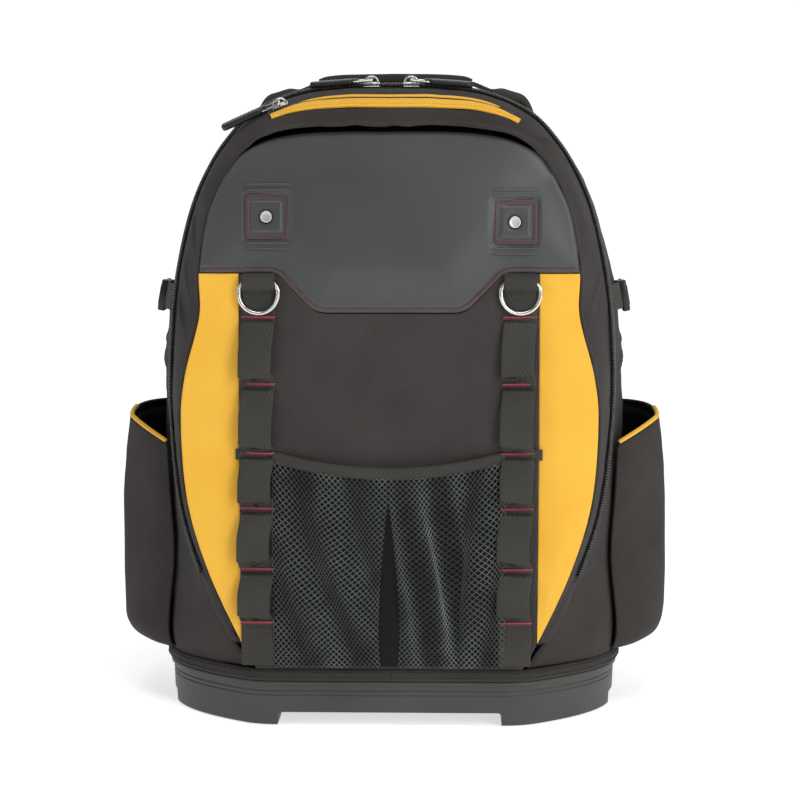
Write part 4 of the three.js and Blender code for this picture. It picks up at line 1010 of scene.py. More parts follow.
def zip_rear(rib):
    return np.maximum(zip_depth(rib) + zip_half(rib), gusset_rear(rib) + GAP + 0.8)


def skin(ribs, near, far, rows, pull=0.4):
    """A grid on the shell between two depths that are functions of the rib."""
    ribs = np.asarray(ribs)[:, None]
    share = closer(rows, pull)[None]
    depths = near(ribs) + (far(ribs) - near(ribs)) * share
    return shell(np.broadcast_to(ribs, depths.shape), depths)


def raised(grid, lift):
    """A shell grid moved outward along its own normals; rib by depth grids face in."""
    moved = grid - normals_of(grid) * np.asarray(lift)[..., None]
    moved[..., 2] = np.maximum(moved[..., 2], CLOTH_BASE)
    return moved


def creased(grid, creases):
    """Lift from creases, each a line on the cloth: two ends, its width and its height in millimetres."""
    total = 0
    for start, end, width, height in creases:
        start, end = np.array(start, float), np.array(end, float)
        way = end - start
        share = np.clip((grid - start) @ way / (way @ way), 0, 1)
        off = np.linalg.norm(grid - start - share[..., None] * way, axis=-1)
        fade = np.sin(math.pi * np.clip(0.08 + 0.84 * share, 0, 1))
        total = total + height * fade * np.exp(-(off / width) ** 2)
    return total


def gathers(lay, pitch, reach, height, seed):
    """Puckers that run in from both long seams and fade with distance from them."""
    near = np.minimum(lay[..., 1], lay[:, -1:, 1] - lay[..., 1])
    beat = lumps(np.stack([lay[..., 0], 0.25 * lay[..., 1], 0 * near], axis=-1), pitch, seed)
    return height * beat * np.exp(-near / reach)


def overhang(rib):
    """Where the front gusset starts: over the top it hangs down ahead of the moulded panel."""
    return seam(rib)[..., 1] - 0.4 - 6.0 * eased(seam(rib)[..., 2], 412, 436)


# %% Front gusset: a rolled lip over the moulded panel, then a full band back to the zipper
LOW_RIB = 1.0
# Each crease: where it starts and ends on the cloth, its width, and its height
FRONT_CREASES = [
    ((-146, 8, 300), (-151, 34, 345), 2.4, 2.8), ((-147, 14, 285), (-158, 48, 318), 2.4, 2.4),
    ((-140, 10, 345), (-146, 40, 372), 2.8, 2.0), ((108, 12, 428), (124, 44, 424), 3.4, 3.4),
    ((128, 10, 402), (138, 44, 405), 3.2, 1.6), ((146, 10, 300), (152, 40, 330), 3.2, 1.8),
    ((-60, 34, 452), (-20, 40, 456), 3.4, -1.4), ((20, 36, 456), (66, 33, 452), 3.6, -1.5),
    # Thin folds that catch the light on one side only
    ((-133, -2, 372), (-139, 24, 388), 1.7, -2.0), ((-128, 0, 390), (-128, 22, 404), 1.7, 1.8),
    ((-86, -2, 444), (-93, 14, 446), 1.6, -2.0), ((94, -2, 436), (98, 16, 438), 1.6, -1.8),
    ((-148, 2, 296), (-156, 20, 322), 1.6, -1.8), ((149, 0, 286), (155, 26, 306), 1.8, 1.8),
    ((146, -2, 326), (150, 26, 318), 1.7, -1.6), ((152, 0, 230), (160, 24, 250), 1.9, 1.6),
    ((-12, -4, 446), (-14, 18, 454), 1.6, -1.4), ((30, -4, 445), (36, 16, 453), 1.6, 1.3),
]
ribs = np.linspace(LOW_RIB, RIBS - LOW_RIB, 500)
band = skin(ribs, overhang, lambda r: gusset_rear(r) - 0.3, 28)
lay = lay_of(band)
across = lay[..., 1] / np.maximum(lay[:, -1:, 1], 1e-6)
wide = np.clip(lay[:, -1:, 1] / 40, 0, 1)
full = np.sin(math.pi * np.clip(across, 0, 1)) ** 0.7 * wide
high = eased(band[..., 2], 395, 432)
lip = (1.2 + 1.6 * high) * np.exp(-((lay[..., 1] - 2.2 - 2 * high) / (2.2 + 2.4 * high)) ** 2) * wide ** 0.5
lift = 1.8 * full + lip + gathers(lay, 9, 8, 0.7, 31) + 1.3 * full * lumps(band, 26, 32)
lift += creased(band, FRONT_CREASES)
cloth("front_band", raised(band, lift), BAND_WALL, body_cloth, outward=-1, stands_for=["front_gusset"])

# %% Rear gusset: from the zipper to the back panel
band = skin(np.linspace(0, RIBS, 400), lambda r: zip_rear(r) + GAP, lambda r: BODY_DEPTH + 0 * r, 46, 0.25)
lay = lay_of(band)
across = lay[..., 1] / np.maximum(lay[:, -1:, 1], 1e-6)
full = np.sin(math.pi * np.clip(across, 0, 1)) ** 0.6
lift = 1.5 * full - 1.2 + gathers(lay, 11, 14, 1.0, 41)
uneven = 1.5 * lumps(band * (1, 1, 0.7), 46, 42) + 0.7 * lumps(band, 19, 43) + 0.3 * lumps(band, 8, 44)
lift += full * uneven
# On both sides alike: where each crease starts in depth and height, how far it runs, and how high
SIDE_CREASES = [(75, 250, 60, 26, 2.2), (80, 285, 70, -18, 1.8), (90, 340, 50, 24, 1.6),
                (120, 230, 50, 34, 1.8)]
lift += creased(band, [
    ((sign * 176, y, z), (sign * 172, y + dy, z + dz), 4.0, height)
    for sign in (-1, 1) for y, z, dy, dz, height in SIDE_CREASES
])
lift = np.minimum(lift, 2.6)
cloth("rear_band", raised(band, lift), BAND_WALL, body_cloth, outward=-1, stands_for=["rear_gusset"])
print("gussets:", len(ribs), "ribs,", round(float(lay[0, -1, 1])), "mm deep at the foot")

# %% [markdown]
# ### The zipper
# A coil zipper is two spirals of nylon sewn to two tapes. Seen close, its teeth are small rounded
# bars in a herringbone, about two millimetres apart. Each is one bead here, on a thin woven tape
# that lies between the two halves of the gusset.

# %% Zipper tape and coil
zipper_tape = woven("zipper_tape", "#161616", "#222221", 1.0, 0.12, 0.75)
COIL_RIB = 1.95
near_tuck, far_tuck = (lambda r: gusset_rear(r) - 2.6), (lambda r: zip_rear(r) + 3.2)
band = skin(np.linspace(COIL_RIB - 0.1, RIBS - COIL_RIB + 0.1, 380), near_tuck, far_tuck, 12, 0.0)
dip = 0.6 - 2.5 * np.abs(np.linspace(-1, 1, 12)) ** 3
lift = np.broadcast_to(dip, band.shape[:2])
cloth("zip_tape", raised(band, lift), 1.0, zipper_tape, outward=-1, stands_for=["main_zipper"])
# Below the ends of the coil the two halves of the gusset are simply sewn together
ZIP_FEET = [("right", LOW_RIB, COIL_RIB + 0.06), ("left", RIBS - COIL_RIB - 0.06, RIBS - LOW_RIB)]
for name, low, high in ZIP_FEET:
    band = skin(np.linspace(low, high, 40), near_tuck, far_tuck, 12, 0.0)
    dip = 0.3 - 2.2 * np.abs(np.linspace(-1, 1, 12)) ** 3
    lift = np.broadcast_to(dip, band.shape[:2])
    cloth(f"{name}_zip_foot", raised(band, lift), 1.2, body_cloth, outward=-1)

TOOTH_PITCH, ROW_OFFSET = 2.0, 1.5
tooth = bead(3.6, 1.3, 2.0)
parts = []
fine = np.linspace(COIL_RIB, RIBS - COIL_RIB, 1600)
for half, slant in ((-1, 0.35), (1, -0.35)):
    depth = np.maximum(zip_depth(fine), gusset_rear(fine) + 0.6) + half * ROW_OFFSET
    line, ahead = shell(fine, depth), shell(fine, depth + 1.0)
    rearward = unit(ahead - line)
    along = unit(np.gradient(line, axis=0))
    outward_way = unit(np.cross(rearward, along))
    outward_way *= np.sign(np.sum(outward_way * (line - (0, 110, 240)), axis=-1, keepdims=True))
    length = np.linalg.norm(np.diff(line, axis=0), axis=1).sum()
    shares = (np.arange(int(length / TOOTH_PITCH)) + (0.5 if half > 0 else 0.0)) / (length / TOOTH_PITCH)
    centres = resample(line, shares)
    up = unit(resample(outward_way, shares))
    back = unit(resample(rearward, shares) + slant * resample(along, shares))
    parts.append(copies(tooth, centres + 1.2 * up, back, up))
make_mesh("zip_coil", *joined(parts), coil_nylon, slot="zipper_tape")
print("zipper teeth:", sum(len(p[1]) for p in parts) // 14)

# %% [markdown]
# ### Flap and welt of the front pocket
# Over the front runs a short zipper that is hidden by a yellow flap, with a thin yellow welt behind
# it. Both are folded strips: round along the folded edge and stitched flat along the other.

# %% Yellow strips over the top
FLAP_RIB, FLAP_FRONT, FLAP_WIDTH, WELT_GAP, WELT_WIDTH = TOP - 3, 14.0, 9.5, 5.0, 4.0


def add_strip(name, from_rib, to_rib, near, far, lift, stands_for, seed, blunt=0.75, power=12):
    ribs = np.linspace(from_rib, to_rib, 200)
    middle, half = (from_rib + to_rib) / 2, (to_rib - from_rib) / 2
    narrow = np.maximum(1 - np.abs((ribs - middle) / half) ** power, blunt)
    reach = (far - near) / 2
    wave = 0.5 * lumps(np.stack([ribs * 30, 0 * ribs, 0 * ribs], axis=-1), 30, seed)
    share = np.linspace(-1, 1, 15)[None]
    depth = (near + far) / 2 + wave[:, None] + reach * narrow[:, None] * share
    grid = shell(np.broadcast_to(ribs[:, None], depth.shape), depth)
    round_over = np.sqrt(np.clip(1 - (np.abs(share) ** 3), 0, 1)) * (0.35 + 0.65 * narrow[:, None])
    height = lift * round_over + 0.35 + 1.6 * narrow[:, None]
    height = height + 0.25 * lumps(grid, 9, seed + 1) * round_over
    strip = raised(grid, height)
    cloth(name, strip, 1.5, yellow_cloth, outward=-1, stands_for=stands_for)
    return strip


flap_rear = FLAP_FRONT + FLAP_WIDTH
welt_front = flap_rear + WELT_GAP
flap = add_strip("pocket_flap", FLAP_RIB + 0.1, RIBS - FLAP_RIB - 0.38, FLAP_FRONT, flap_rear, 1.9,
                 ["front_flap"], 51)
add_strip("pocket_welt", FLAP_RIB + 0.3, RIBS - FLAP_RIB - 0.9, welt_front - 2.6,
          welt_front + WELT_WIDTH - 3.2, 1.0, ["flap_piping"], 55, blunt=0.2, power=6)
yellow_thread = moulded("yellow_thread", "#d79a20", "#eab43a", 0.55, 0.5, 0.05)
sew("flap_stitches", flap[6:-6, 3], 3.0, yellow_thread, height=0.5)

# The coil of the pocket's zipper, in the dark gap between flap and welt
fine = np.linspace(FLAP_RIB + 0.3, RIBS - FLAP_RIB - 0.3, 500)
line = shell(fine, np.full(500, flap_rear + 2.6))
sew("pocket_coil", line + (0, 0, 0.9), 2.1, coil_nylon, length=1.2, width=3.2, height=1.1, up=(0, -0.3, 1))

# %% [markdown]
# ### Sliders and pulls
# A slider is a small die-cast body with an arched bridge. A wire link hangs from the bridge and
# carries a moulded grip, so that gloved hands can find it. Link and grip turn together about the
# bridge: they ride one body, and the slider stays with the bag.

# %% Where hardware sits on the shell
def seat_on_top(x, depth):
    """The shell's point at a distance to the side and a depth, with axes out to the side, back and up."""
    ribs = np.linspace(TOP - 5, TOP + 5, 2001)
    line = shell(ribs, np.full(2001, float(depth)))
    rib = float(np.interp(-x, -line[:, 0], ribs))
    point = shell_point(rib, depth)
    along = unit(shell_point(rib + 0.1, depth) - shell_point(rib - 0.1, depth))
    along = along * (1 if x < 0 else -1)
    back = unit(shell_point(rib, depth + 2) - shell_point(rib, depth - 2))
    normal = unit(np.cross(along, back))
    normal = normal * (1 if normal[2] > 0 else -1)
    return point, np.stack([along, np.cross(normal, along), normal], axis=-1)


def rounded_block(size, radius):
    """A block with rounded edges, as points and faces, centred on its middle."""
    rings, sides = [], 4
    half = np.array(size) / 2
    radius = min(radius, *half * 0.98)
    turn = np.linspace(0, math.pi / 2, sides + 1)
    plan = []
    for k, (sx, sy) in enumerate(((1, 1), (-1, 1), (-1, -1), (1, -1))):
        start = k * math.pi / 2
        for t in turn:
            way = (math.cos(start + t), math.sin(start + t))
            plan.append((sx * (half[0] - radius), sy * (half[1] - radius), *way))
    plan = np.array(plan)
    for t in np.linspace(-math.pi / 2, math.pi / 2, 2 * sides + 1):
        z = math.copysign(half[2] - radius, t) + radius * math.sin(t) if t else 0.0
        xy = plan[:, :2] + radius * math.cos(t) * plan[:, 2:]
        rings.append(np.c_[xy, np.full(len(plan), z)])
    points = np.array(rings).transpose(1, 0, 2).reshape(-1, 3)
    return points, closed_faces(len(plan), len(rings))


def placed(shape, origin, basis, offset=(0, 0, 0)):
    return (np.asarray(shape[0]) + offset) @ np.asarray(basis).T + origin, shape[1]


# %% Sliders, links and grips
SLIDER, BRIDGE_INSIDE, LINK, LINK_WIDE, WIRE = (12.0, 9.0, 3.2), 3.4, 15.0, 10.4, 1.8
PULL, PULL_WIDE, PULL_WALL, LEAN = 36.0, 10.0, 4.5, math.radians(4)


def grip_shape():
    """The moulded grip: a flat bar with a round far end and raised ribs across it."""
    start = LINK - WIRE - WIRE - 1.6
    end = start + PULL
    half = PULL_WIDE / 2
    xs = start + (end - start) * closer(60, 0.5)
    near = eased(xs, start + 3.5, start + 6.0) * (half - 3.0) + 3.0
    far = np.sqrt(np.clip(half ** 2 - np.clip(xs - (end - half), 0, half) ** 2, 0.01, None))
    wide = np.minimum(near, far)
    thick = (PULL_WALL / 2) * np.clip(wide / 3.0, 0.25, 1)
    ribbed = (xs > start + 9) & (xs < end - 7)
    thick = thick + 0.3 * np.maximum(np.sin((xs - start) * 2 * math.pi / 3.2), 0) * ribbed
    angle = np.linspace(0, 2 * math.pi, 28, endpoint=False)
    y, z = flattened(np.cos(angle), 0.5), flattened(np.sin(angle), 0.6)
    along = np.broadcast_to(xs[None], (28, 60))
    points = np.stack([along, y[:, None] * wide[None], z[:, None] * thick[None]], axis=-1)
    return points.reshape(-1, 3), closed_faces(28, 60)


def link_shape():
    far, half = LINK - WIRE, (LINK_WIDE - WIRE) / 2
    corners = np.array([(0, -half, 0), (far, -half, 0), (far, half, 0), (0, half, 0), (0, -half, 0)], float)
    path = resample(corners, np.linspace(0, 1, 97))[:-1]
    return tube(smoothed(path, 2), WIRE / 2, closed=True)


def slider_shapes():
    length, width, height = SLIDER
    blocks = [
        ((length, width, 1.3), 0.6, (0, 0, 0.65)),
        ((length, width * 0.92, 1.1), 0.5, (0, 0, height - 0.55)),
        ((length * 0.35, 1.4, height), 0.4, (length * 0.28, 0, height / 2)),
    ]
    parts = [placed(rounded_block(size, radius), place, np.eye(3)) for size, radius, place in blocks]
    t = np.linspace(0, math.pi, 30)
    rise = (BRIDGE_INSIDE + 1.3) * np.sin(t) ** 0.6
    arch = np.stack([-4.6 * np.cos(t), 0 * t, height - 0.4 + rise], axis=-1)
    parts.append(tube(arch, 0.85, flat=1.5, up=(0, 1, 0)))
    return joined(parts)


sliders = [
    ("left", -14.5, ZIPPER_DEPTH), ("right", 14.5, ZIPPER_DEPTH), ("pocket", -79.0, welt_front + 4.0),
]
for name, x, depth in sliders:
    point, basis = seat_on_top(x, depth)
    seat = point + 2 * GAP * basis[:, 2]
    pivot = seat + (SLIDER[2] + BRIDGE_INSIDE / 2) * basis[:, 2]
    leaned = basis @ np.array(Matrix.Rotation(LEAN, 3, "Y"))
    # The link turns about the frame's own axis, so the slider moves to where the frame has its link
    low, high = (np.array(corner) / MM - (0, FRONT, 0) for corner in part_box(f"{name}_pull_link"))
    link = placed(link_shape(), pivot, leaned)[0]
    shift = (low + high - link.min(axis=0) - link.max(axis=0)) / 2
    seat, pivot = seat + shift, pivot + shift
    pull = f"{name}_pull"
    slider = placed(slider_shapes(), seat, basis)
    wire, grip = (placed(shape, pivot, leaned) for shape in (link_shape(), grip_shape()))
    make_mesh(f"{name}_zip_slider", *slider, nickel_steel, stands_for=[f"{name}_slider"])
    make_mesh(f"{name}_wire_link", *wire, nickel_steel, pull, [f"{name}_pull_link"])
    make_mesh(f"{name}_grip", *grip, black_plastic, pull, [f"{name}_pull_tab"])
    print(name, "slider at", seat.round(1).tolist())

# %% [markdown]
# ### Carry handle
# Two ends of webbing are sewn to the bag, and between them a padded sleeve is wrapped round the
# webbing. The sleeve is fuller than the webbing and ends square, with a stitched hem. Its foam
# bulges between the two rows of stitches that close it.

# %% Path of the handle
HANDLE_DEPTH, HANDLE_SPAN, HANDLE_RISE = 176.0, 104.0, 483.0
HANDLE_WIDE, HANDLE_WALL, HANDLE_DROP = 28.0, 9.5, 19.0
HANDLE_CROWN = HANDLE_RISE - HANDLE_WALL / 2 - 0.6


def spline(points, count):
    """A smooth line through points, evenly divided."""
    points = np.asarray(points, float)
    place = np.linspace(0, len(points) - 1, 60 * len(points))
    line = np.stack([smooth(points[:, k], place) for k in range(points.shape[1])], axis=-1)
    return resample(line, np.linspace(0, 1, count))


def handle_half():
    rows = []
    for rib in (TOP - 3.55, TOP - 3.3):
        rows.append(shell_point(rib, HANDLE_DEPTH) + np.array([0.45, 0, 0.9]) * (2.6 + 1.2))
    for share, drop in ((0.98, 1.0), (0.86, 0.68), (0.72, 0.47), (0.56, 0.14), (0.33, 0.02)):
        rows.append((share * HANDLE_SPAN, HANDLE_DEPTH, HANDLE_CROWN - drop * HANDLE_DROP))
    return np.array(rows)


half = handle_half()
path = spline(np.concatenate([half, [(0, HANDLE_DEPTH, HANDLE_CROWN)], half[::-1] * (-1, 1, 1)]), 240)
foot_turn = eased(np.abs(np.linspace(-1, 1, 240)), 0.72, 0.94)[:, None]
seated = unit(shell_point(TOP - 3.55, 190.0) - shell_point(TOP - 3.55, 162.0))
sign = np.where(np.linspace(1, -1, 240) > 0, 1, -1)[:, None]
mirrored = np.concatenate([sign, sign * 0 + 1, sign * 0 + 1], axis=1)
across = (1 - foot_turn) * (0, 1, 0) + foot_turn * seated * mirrored


def band_along(path, across, half_width, half_wall, sides=36, power=0.6):
    """A flat or plump band along a path, with widths and walls that may change along it."""
    tangent = unit(np.gradient(path, axis=0))
    wide = unit(across - tangent * np.sum(across * tangent, axis=1, keepdims=True))
    normal = np.cross(tangent, wide)
    count = len(path)
    angle = np.linspace(0, 2 * math.pi, sides, endpoint=False)
    a, b = flattened(np.cos(angle), power), flattened(np.sin(angle), power)
    half_width = np.broadcast_to(half_width, (count,))
    half_wall = np.broadcast_to(half_wall, (sides, count))
    out = a[:, None] * half_width
    points = path[None] + out[..., None] * wide[None]
    points = points + (b[:, None] * half_wall)[..., None] * normal[None]
    length = np.concatenate([[0], np.cumsum(np.linalg.norm(np.diff(path, axis=0), axis=1))])
    lay = np.stack([out, np.broadcast_to(length, out.shape), np.zeros(out.shape)], axis=-1)
    return points, closed_faces(sides, count), lay


# Both ends are folded back on themselves before they are sewn down, so they are thickest there
folded = 1.5 + 2.9 * eased(np.abs(path[:, 0]), 74, 84) * (1 - 0.5 * eased(np.abs(path[:, 0]), 97, 104))
points, faces, lay = band_along(path, across, 12.0, folded, sides=28, power=0.45)
make_mesh("handle_webbing", points, faces, webbing, stands_for=["carry_handle"], lay=lay)
middle = path[np.abs(path[:, 0]) < 60]
middle = resample(middle, np.linspace(0, 1, 150))
share = np.abs(np.linspace(-1, 1, 150))
plump = HANDLE_WALL / 2 - 0.3 - 0.9 * eased(share, 0.9, 1.0) + 0.25 * lumps(middle, 14, 61)
width = HANDLE_WIDE / 2 - 0.4 - 0.8 * np.exp(-((share - 0.93) / 0.02) ** 2)
rearward = np.broadcast_to((0, 1.0, 0), middle.shape)
points, faces, lay = band_along(middle, rearward, width, plump, sides=44, power=0.55)
grip = make_mesh("handle_sleeve", points, faces, body_cloth, stands_for=["carry_handle"], lay=lay)
ends = []
for sign in (-1, 1):
    for inset in (3.0, 5.5):
        k = int((0.5 + 0.5 * sign) * 149) - sign * int(inset / 0.8)
        edge = points[6:17, k]
        centres, along = spaced(edge + (0, 0, 0.1), 2.6)
        ends.append(copies(bead(1.9, 0.7, 0.5), centres, along, np.broadcast_to((0, 0, 1.0), along.shape)))
make_mesh("handle_hems", *joined(ends), dark_thread, slot="webbing")
print("handle sleeve:", round(float(np.ptp(middle[:, 0]))), "mm long")

# %% [markdown]
# ### Side pockets
# Each side pocket is one panel of cloth, gathered at its foot so that it stands out like a cup. Its
# mouth is bound in front with a yellow cord and behind with a plain hem. Cloth that is not held
# inside sags: it bellies lowest just over its foot and shows soft vertical folds.

# %% Pocket panels
POCKET_FRONT, POCKET_REAR, BELLY = 66.0, 190.0, 32.0
# How the pocket swells from its foot to its mouth: a rib of the shell and a share of the belly
ROWS = np.array([(0.16, 0.0), (0.2, 0.62), (0.4, 0.9), (0.8, 1.07), (1.2, 1.14), (1.9, 1.13), (2.7, 1.05),
                 (3.4, 0.95), (4.0, 0.85)])
MOUTH = (3.58, 4.16)


def pocket_grid(side, seed):
    u = closer(100, 0.3)[:, None]
    v = np.linspace(0, 1, 84)[None]
    place = v * (len(ROWS) - 1)
    row, swell = smooth(ROWS[:, 0], place), np.maximum(smooth(ROWS[:, 1], place), 0)
    mouth = MOUTH[0] + (MOUTH[1] - MOUTH[0]) * u ** 0.55
    first, last = ROWS[0, 0], ROWS[-1, 0]
    height = first + (row - first) * (mouth - first) / (last - first)
    depth = POCKET_FRONT + (POCKET_REAR - POCKET_FRONT) * u
    rib = height if side > 0 else RIBS - height
    grid = shell(rib, np.broadcast_to(depth, rib.shape))
    bow = np.sin(math.pi * np.clip(u, 0.004, 0.996)) ** 0.55
    out = 0.6 + BELLY * swell * bow
    folds = 1.0 * np.sin(2 * math.pi * (3.2 * u + 0.25 * np.sin(3 * v))) * (1 - 0.55 * v) * bow
    noise = 1.1 * lumps(grid * (1, 1, 0.55), 30, seed) + 0.5 * lumps(grid, 12, seed + 1)
    pull = 1.6 * np.exp(-v * 190 / 14) * lumps(grid * (0, 1, 0), 7, seed + 2)
    free = bow * eased(v, 0.0, 0.06) * (1 - 0.6 * eased(v, 0.9, 1))
    grid[..., 0] += side * (out + (folds + noise + pull) * free)
    return grid


for name, side, seed in (("left", -1, 71), ("right", 1, 75)):
    grid = pocket_grid(side, seed)
    cloth(f"{name}_pocket_cup", grid, 1.7, body_cloth, outward=-side, stands_for=[f"{name}_side_pocket"])
    rim = grid[:, -1]
    shares = np.linspace(0.02, 0.56, 120)
    cord = resample(rim, shares) + (side * 0.2, 0, 1.2)
    points, faces = tube(cord, 1.75, sides=12)
    make_mesh(f"{name}_pocket_cord", points, faces, yellow_cloth, stands_for=[f"{name}_pocket_piping"])
    hem = resample(rim, np.linspace(0.565, 0.985, 110)) + (0, 0, 0.3)
    points, faces = tube(hem, 1.25)
    make_mesh(f"{name}_pocket_hem", points, faces, body_cloth)
    row = grid[4:-4, -5] + (side * 0.25, 0, 0)
    sew(f"{name}_mouth_stitches", row, 3.2, dark_thread, up=(side, 0, 0))
    # Inside the cup a near-black sheet is painted shade for the pocket's shaded inside
    inner = grid[3:-3:2, 3:-1:2] - np.array((side * 2.0, 0, 0))
    cloth(f"{name}_pocket_painted_shade", inner, 0.3, painted_shade_cloth, outward=side)
    print(name, "pocket:", round(float(np.abs(grid[..., 0]).max())), "mm from the middle")

# %% [markdown]
# ### Side straps and buckles
# A compression strap runs back along each side, with a side-release buckle near its front. It is
# fastened, so its two halves are one piece here: a frame with two windows, where the prongs of the
# inner half show.

# %% Straps and buckles
STRAP_ROW, STRAP_WIDE = 6.22, 20.0
strap_start, strap_end = ZIPPER_DEPTH + ZIPPER_WIDTH / 2 + 2, BODY_DEPTH - 3


def side_strap_point(side, row, depth):
    rib = np.broadcast_to(row if side > 0 else RIBS - row, np.shape(depth))
    return shell(rib, np.asarray(depth, float))


for name, side in SIDES:
    depths = np.linspace(strap_start, strap_end, 90)
    middle = side_strap_point(side, STRAP_ROW, depths)
    above = side_strap_point(side, STRAP_ROW + 0.2, depths)
    across = unit(above - middle)
    stand = 1.7 + 1.6 * np.exp(-((depths - 118) / 26) ** 2) + 0.9 * np.sin((depths - strap_start) / 16) ** 2
    path = middle + np.stack([side * stand, 0 * stand, 0 * stand], axis=-1)
    points, faces, lay = band_along(path, across, STRAP_WIDE / 2, 0.8, sides=28, power=0.4)
    make_mesh(f"{name}_side_webbing", points, faces, webbing, stands_for=[f"{name}_side_strap"], lay=lay)
    low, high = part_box(f"{name}_side_buckle")
    centre = np.array((low + high) / 2) / MM - (0, FRONT, 0)
    up = unit(across[len(across) // 3])
    out = unit(np.cross((0, 1, 0), up)) * side
    out = out * np.sign(out[0]) * side
    basis = np.stack([out, np.array((0, 1.0, 0)), up], axis=-1)
    parts = [placed(rounded_block((6.0, 12, 24), 1.6), centre, basis, (0, -13, 0))]
    parts.append(placed(rounded_block((5.0, 9, 22), 1.4), centre, basis, (0, 14.5, 0)))
    parts.append(placed(rounded_block((4.2, 20, 9.5), 1.4), centre, basis, (0, 1.5, 0)))
    for edge in (-1, 1):
        prong = np.array([(0, -9, 8.2), (0, -3, 10.6), (0, 5, 10.4), (0, 12, 8.0)]) * (1, 1, edge)
        parts.append(placed(tube(spline(prong, 24), 1.9, up=(1, 0, 0)), centre, basis))
    for rib in (-15.5, -13.0, -10.5):
        parts.append(placed(rounded_block((0.9, 0.9, 15), 0.4), centre, basis, (3.1, rib, 0)))
    make_mesh(f"{name}_clip", *joined(parts), black_plastic, stands_for=[f"{name}_side_buckle"])
print("side straps reach back to", round(strap_end), "mm")

# %% [markdown]
# ### Tray and binding
# The tray is one moulding, so it is drawn as the bag's plan swept through a profile: a thin wall
# that leans out a little, two fine grooves, and a thick rim on top. Two notches cross under it and
# leave four feet. A boolean cuts them, as a cutter would, and a bevel softens what it leaves sharp.

# %% The plan of the base, and sweeps round it
BACK_FACE = BODY_DEPTH + GAP + 4.0
PLAN_MIDDLE = BACK_FACE / 2


def plan_outline():
    """The bag's plan at its base, from the middle of the front round to the same place."""
    depth = np.concatenate([np.zeros(1), BODY_DEPTH * np.linspace(0, 1, 140) ** 1.4])
    half = shell(np.zeros(len(depth)), depth)[:, :2]
    corner = np.linspace(0, math.pi / 2, 12)
    bend = 4.3
    out, back = bend * np.cos(corner), bend * np.sin(corner)
    round_off = np.stack([half[-1, 0] - bend + out, BODY_DEPTH + 0.05 + back], axis=-1)
    right = np.concatenate([[(0, 0)], half, round_off, [(0, BACK_FACE)]])
    loop = np.concatenate([right, right[::-1][1:] * (-1, 1)])
    return smoothed(resample(loop, np.linspace(0, 1, 321))[:-1], 4)


PLAN = plan_outline()
plan_way = unit(np.roll(PLAN, -1, axis=0) - np.roll(PLAN, 1, axis=0))
PLAN_OUT = np.stack([plan_way[:, 1], -plan_way[:, 0]], axis=-1)
PLAN_LENGTH = np.concatenate([[0], np.cumsum(np.linalg.norm(np.diff(PLAN, axis=0), axis=1))])


def round_plan(profile):
    """The plan swept through a profile of offsets outward and heights: a grid of plan by profile."""
    offset, z = np.asarray(profile, float).T
    flat = PLAN[:, None] + offset[None, :, None] * PLAN_OUT[:, None]
    return np.concatenate([flat, np.broadcast_to(z[None, :, None], (*flat.shape[:2], 1))], axis=-1)


def grooves(z, places):
    return -0.55 * sum(np.exp(-((z - p) / 0.6) ** 2) for p in places)


# %% The moulded tray
low_z = [[0, 0.15, 0.5, 1.1], np.linspace(2, 20, 8), np.linspace(20.8, 28.6, 28)]
z = np.concatenate([*low_z, np.linspace(28.9, 30.6, 6), [31.6, 32.4, 32.8, 33.0]])
offset = -1.85 + 1.05 * np.clip(z / 28.6, 0, 1) + 2.0 * eased(z, 29.0, 30.4)
offset = offset - 1.2 * (1 - np.sqrt(np.clip(1 - (1 - np.clip(z / 1.2, 0, 1)) ** 2, 0, 1)))
offset = offset - 0.8 * (1 - np.sqrt(np.clip(1 - np.clip((z - 32.0) / 1.0, 0, 1) ** 2, 0, 1)))
offset = offset + grooves(z, (25.9, 22.6))
grid = round_plan(np.c_[offset, z])
tray = make_mesh("tray", grid, closed_faces(*grid.shape[:2]), moulded_tray, stands_for=["base_tray"])

FOOT_HEIGHT, FOOT_INNER, SIDE_NOTCH = 9.5, 82.0, 56.0
cutters = []
for size in ((2 * FOOT_INNER, 700, 2 * FOOT_HEIGHT), (700, SIDE_NOTCH, 2 * FOOT_HEIGHT)):
    points, faces = rounded_block(size, 3.0)
    cutter = make_mesh("cutter", points + (0, PLAN_MIDDLE, 0), faces, moulded_tray)
    cut = tray.modifiers.new("notch", "BOOLEAN")
    cut.operation, cut.object, cut.solver = "DIFFERENCE", cutter, "EXACT"
    cutters.append(cutter)
cut_mesh = bpy.data.meshes.new_from_object(tray.evaluated_get(bpy.context.evaluated_depsgraph_get()))
tray.modifiers.clear()
tray.data = cut_mesh
for cutter in cutters:
    bpy.data.objects.remove(cutter)
soften = tray.modifiers.new("soft_edges", "BEVEL")
soften.width, soften.segments = 0.7 * MM, 2
soften.limit_method, soften.angle_limit = "ANGLE", math.radians(35)
print("tray:", len(tray.data.polygons), "faces after its notches")

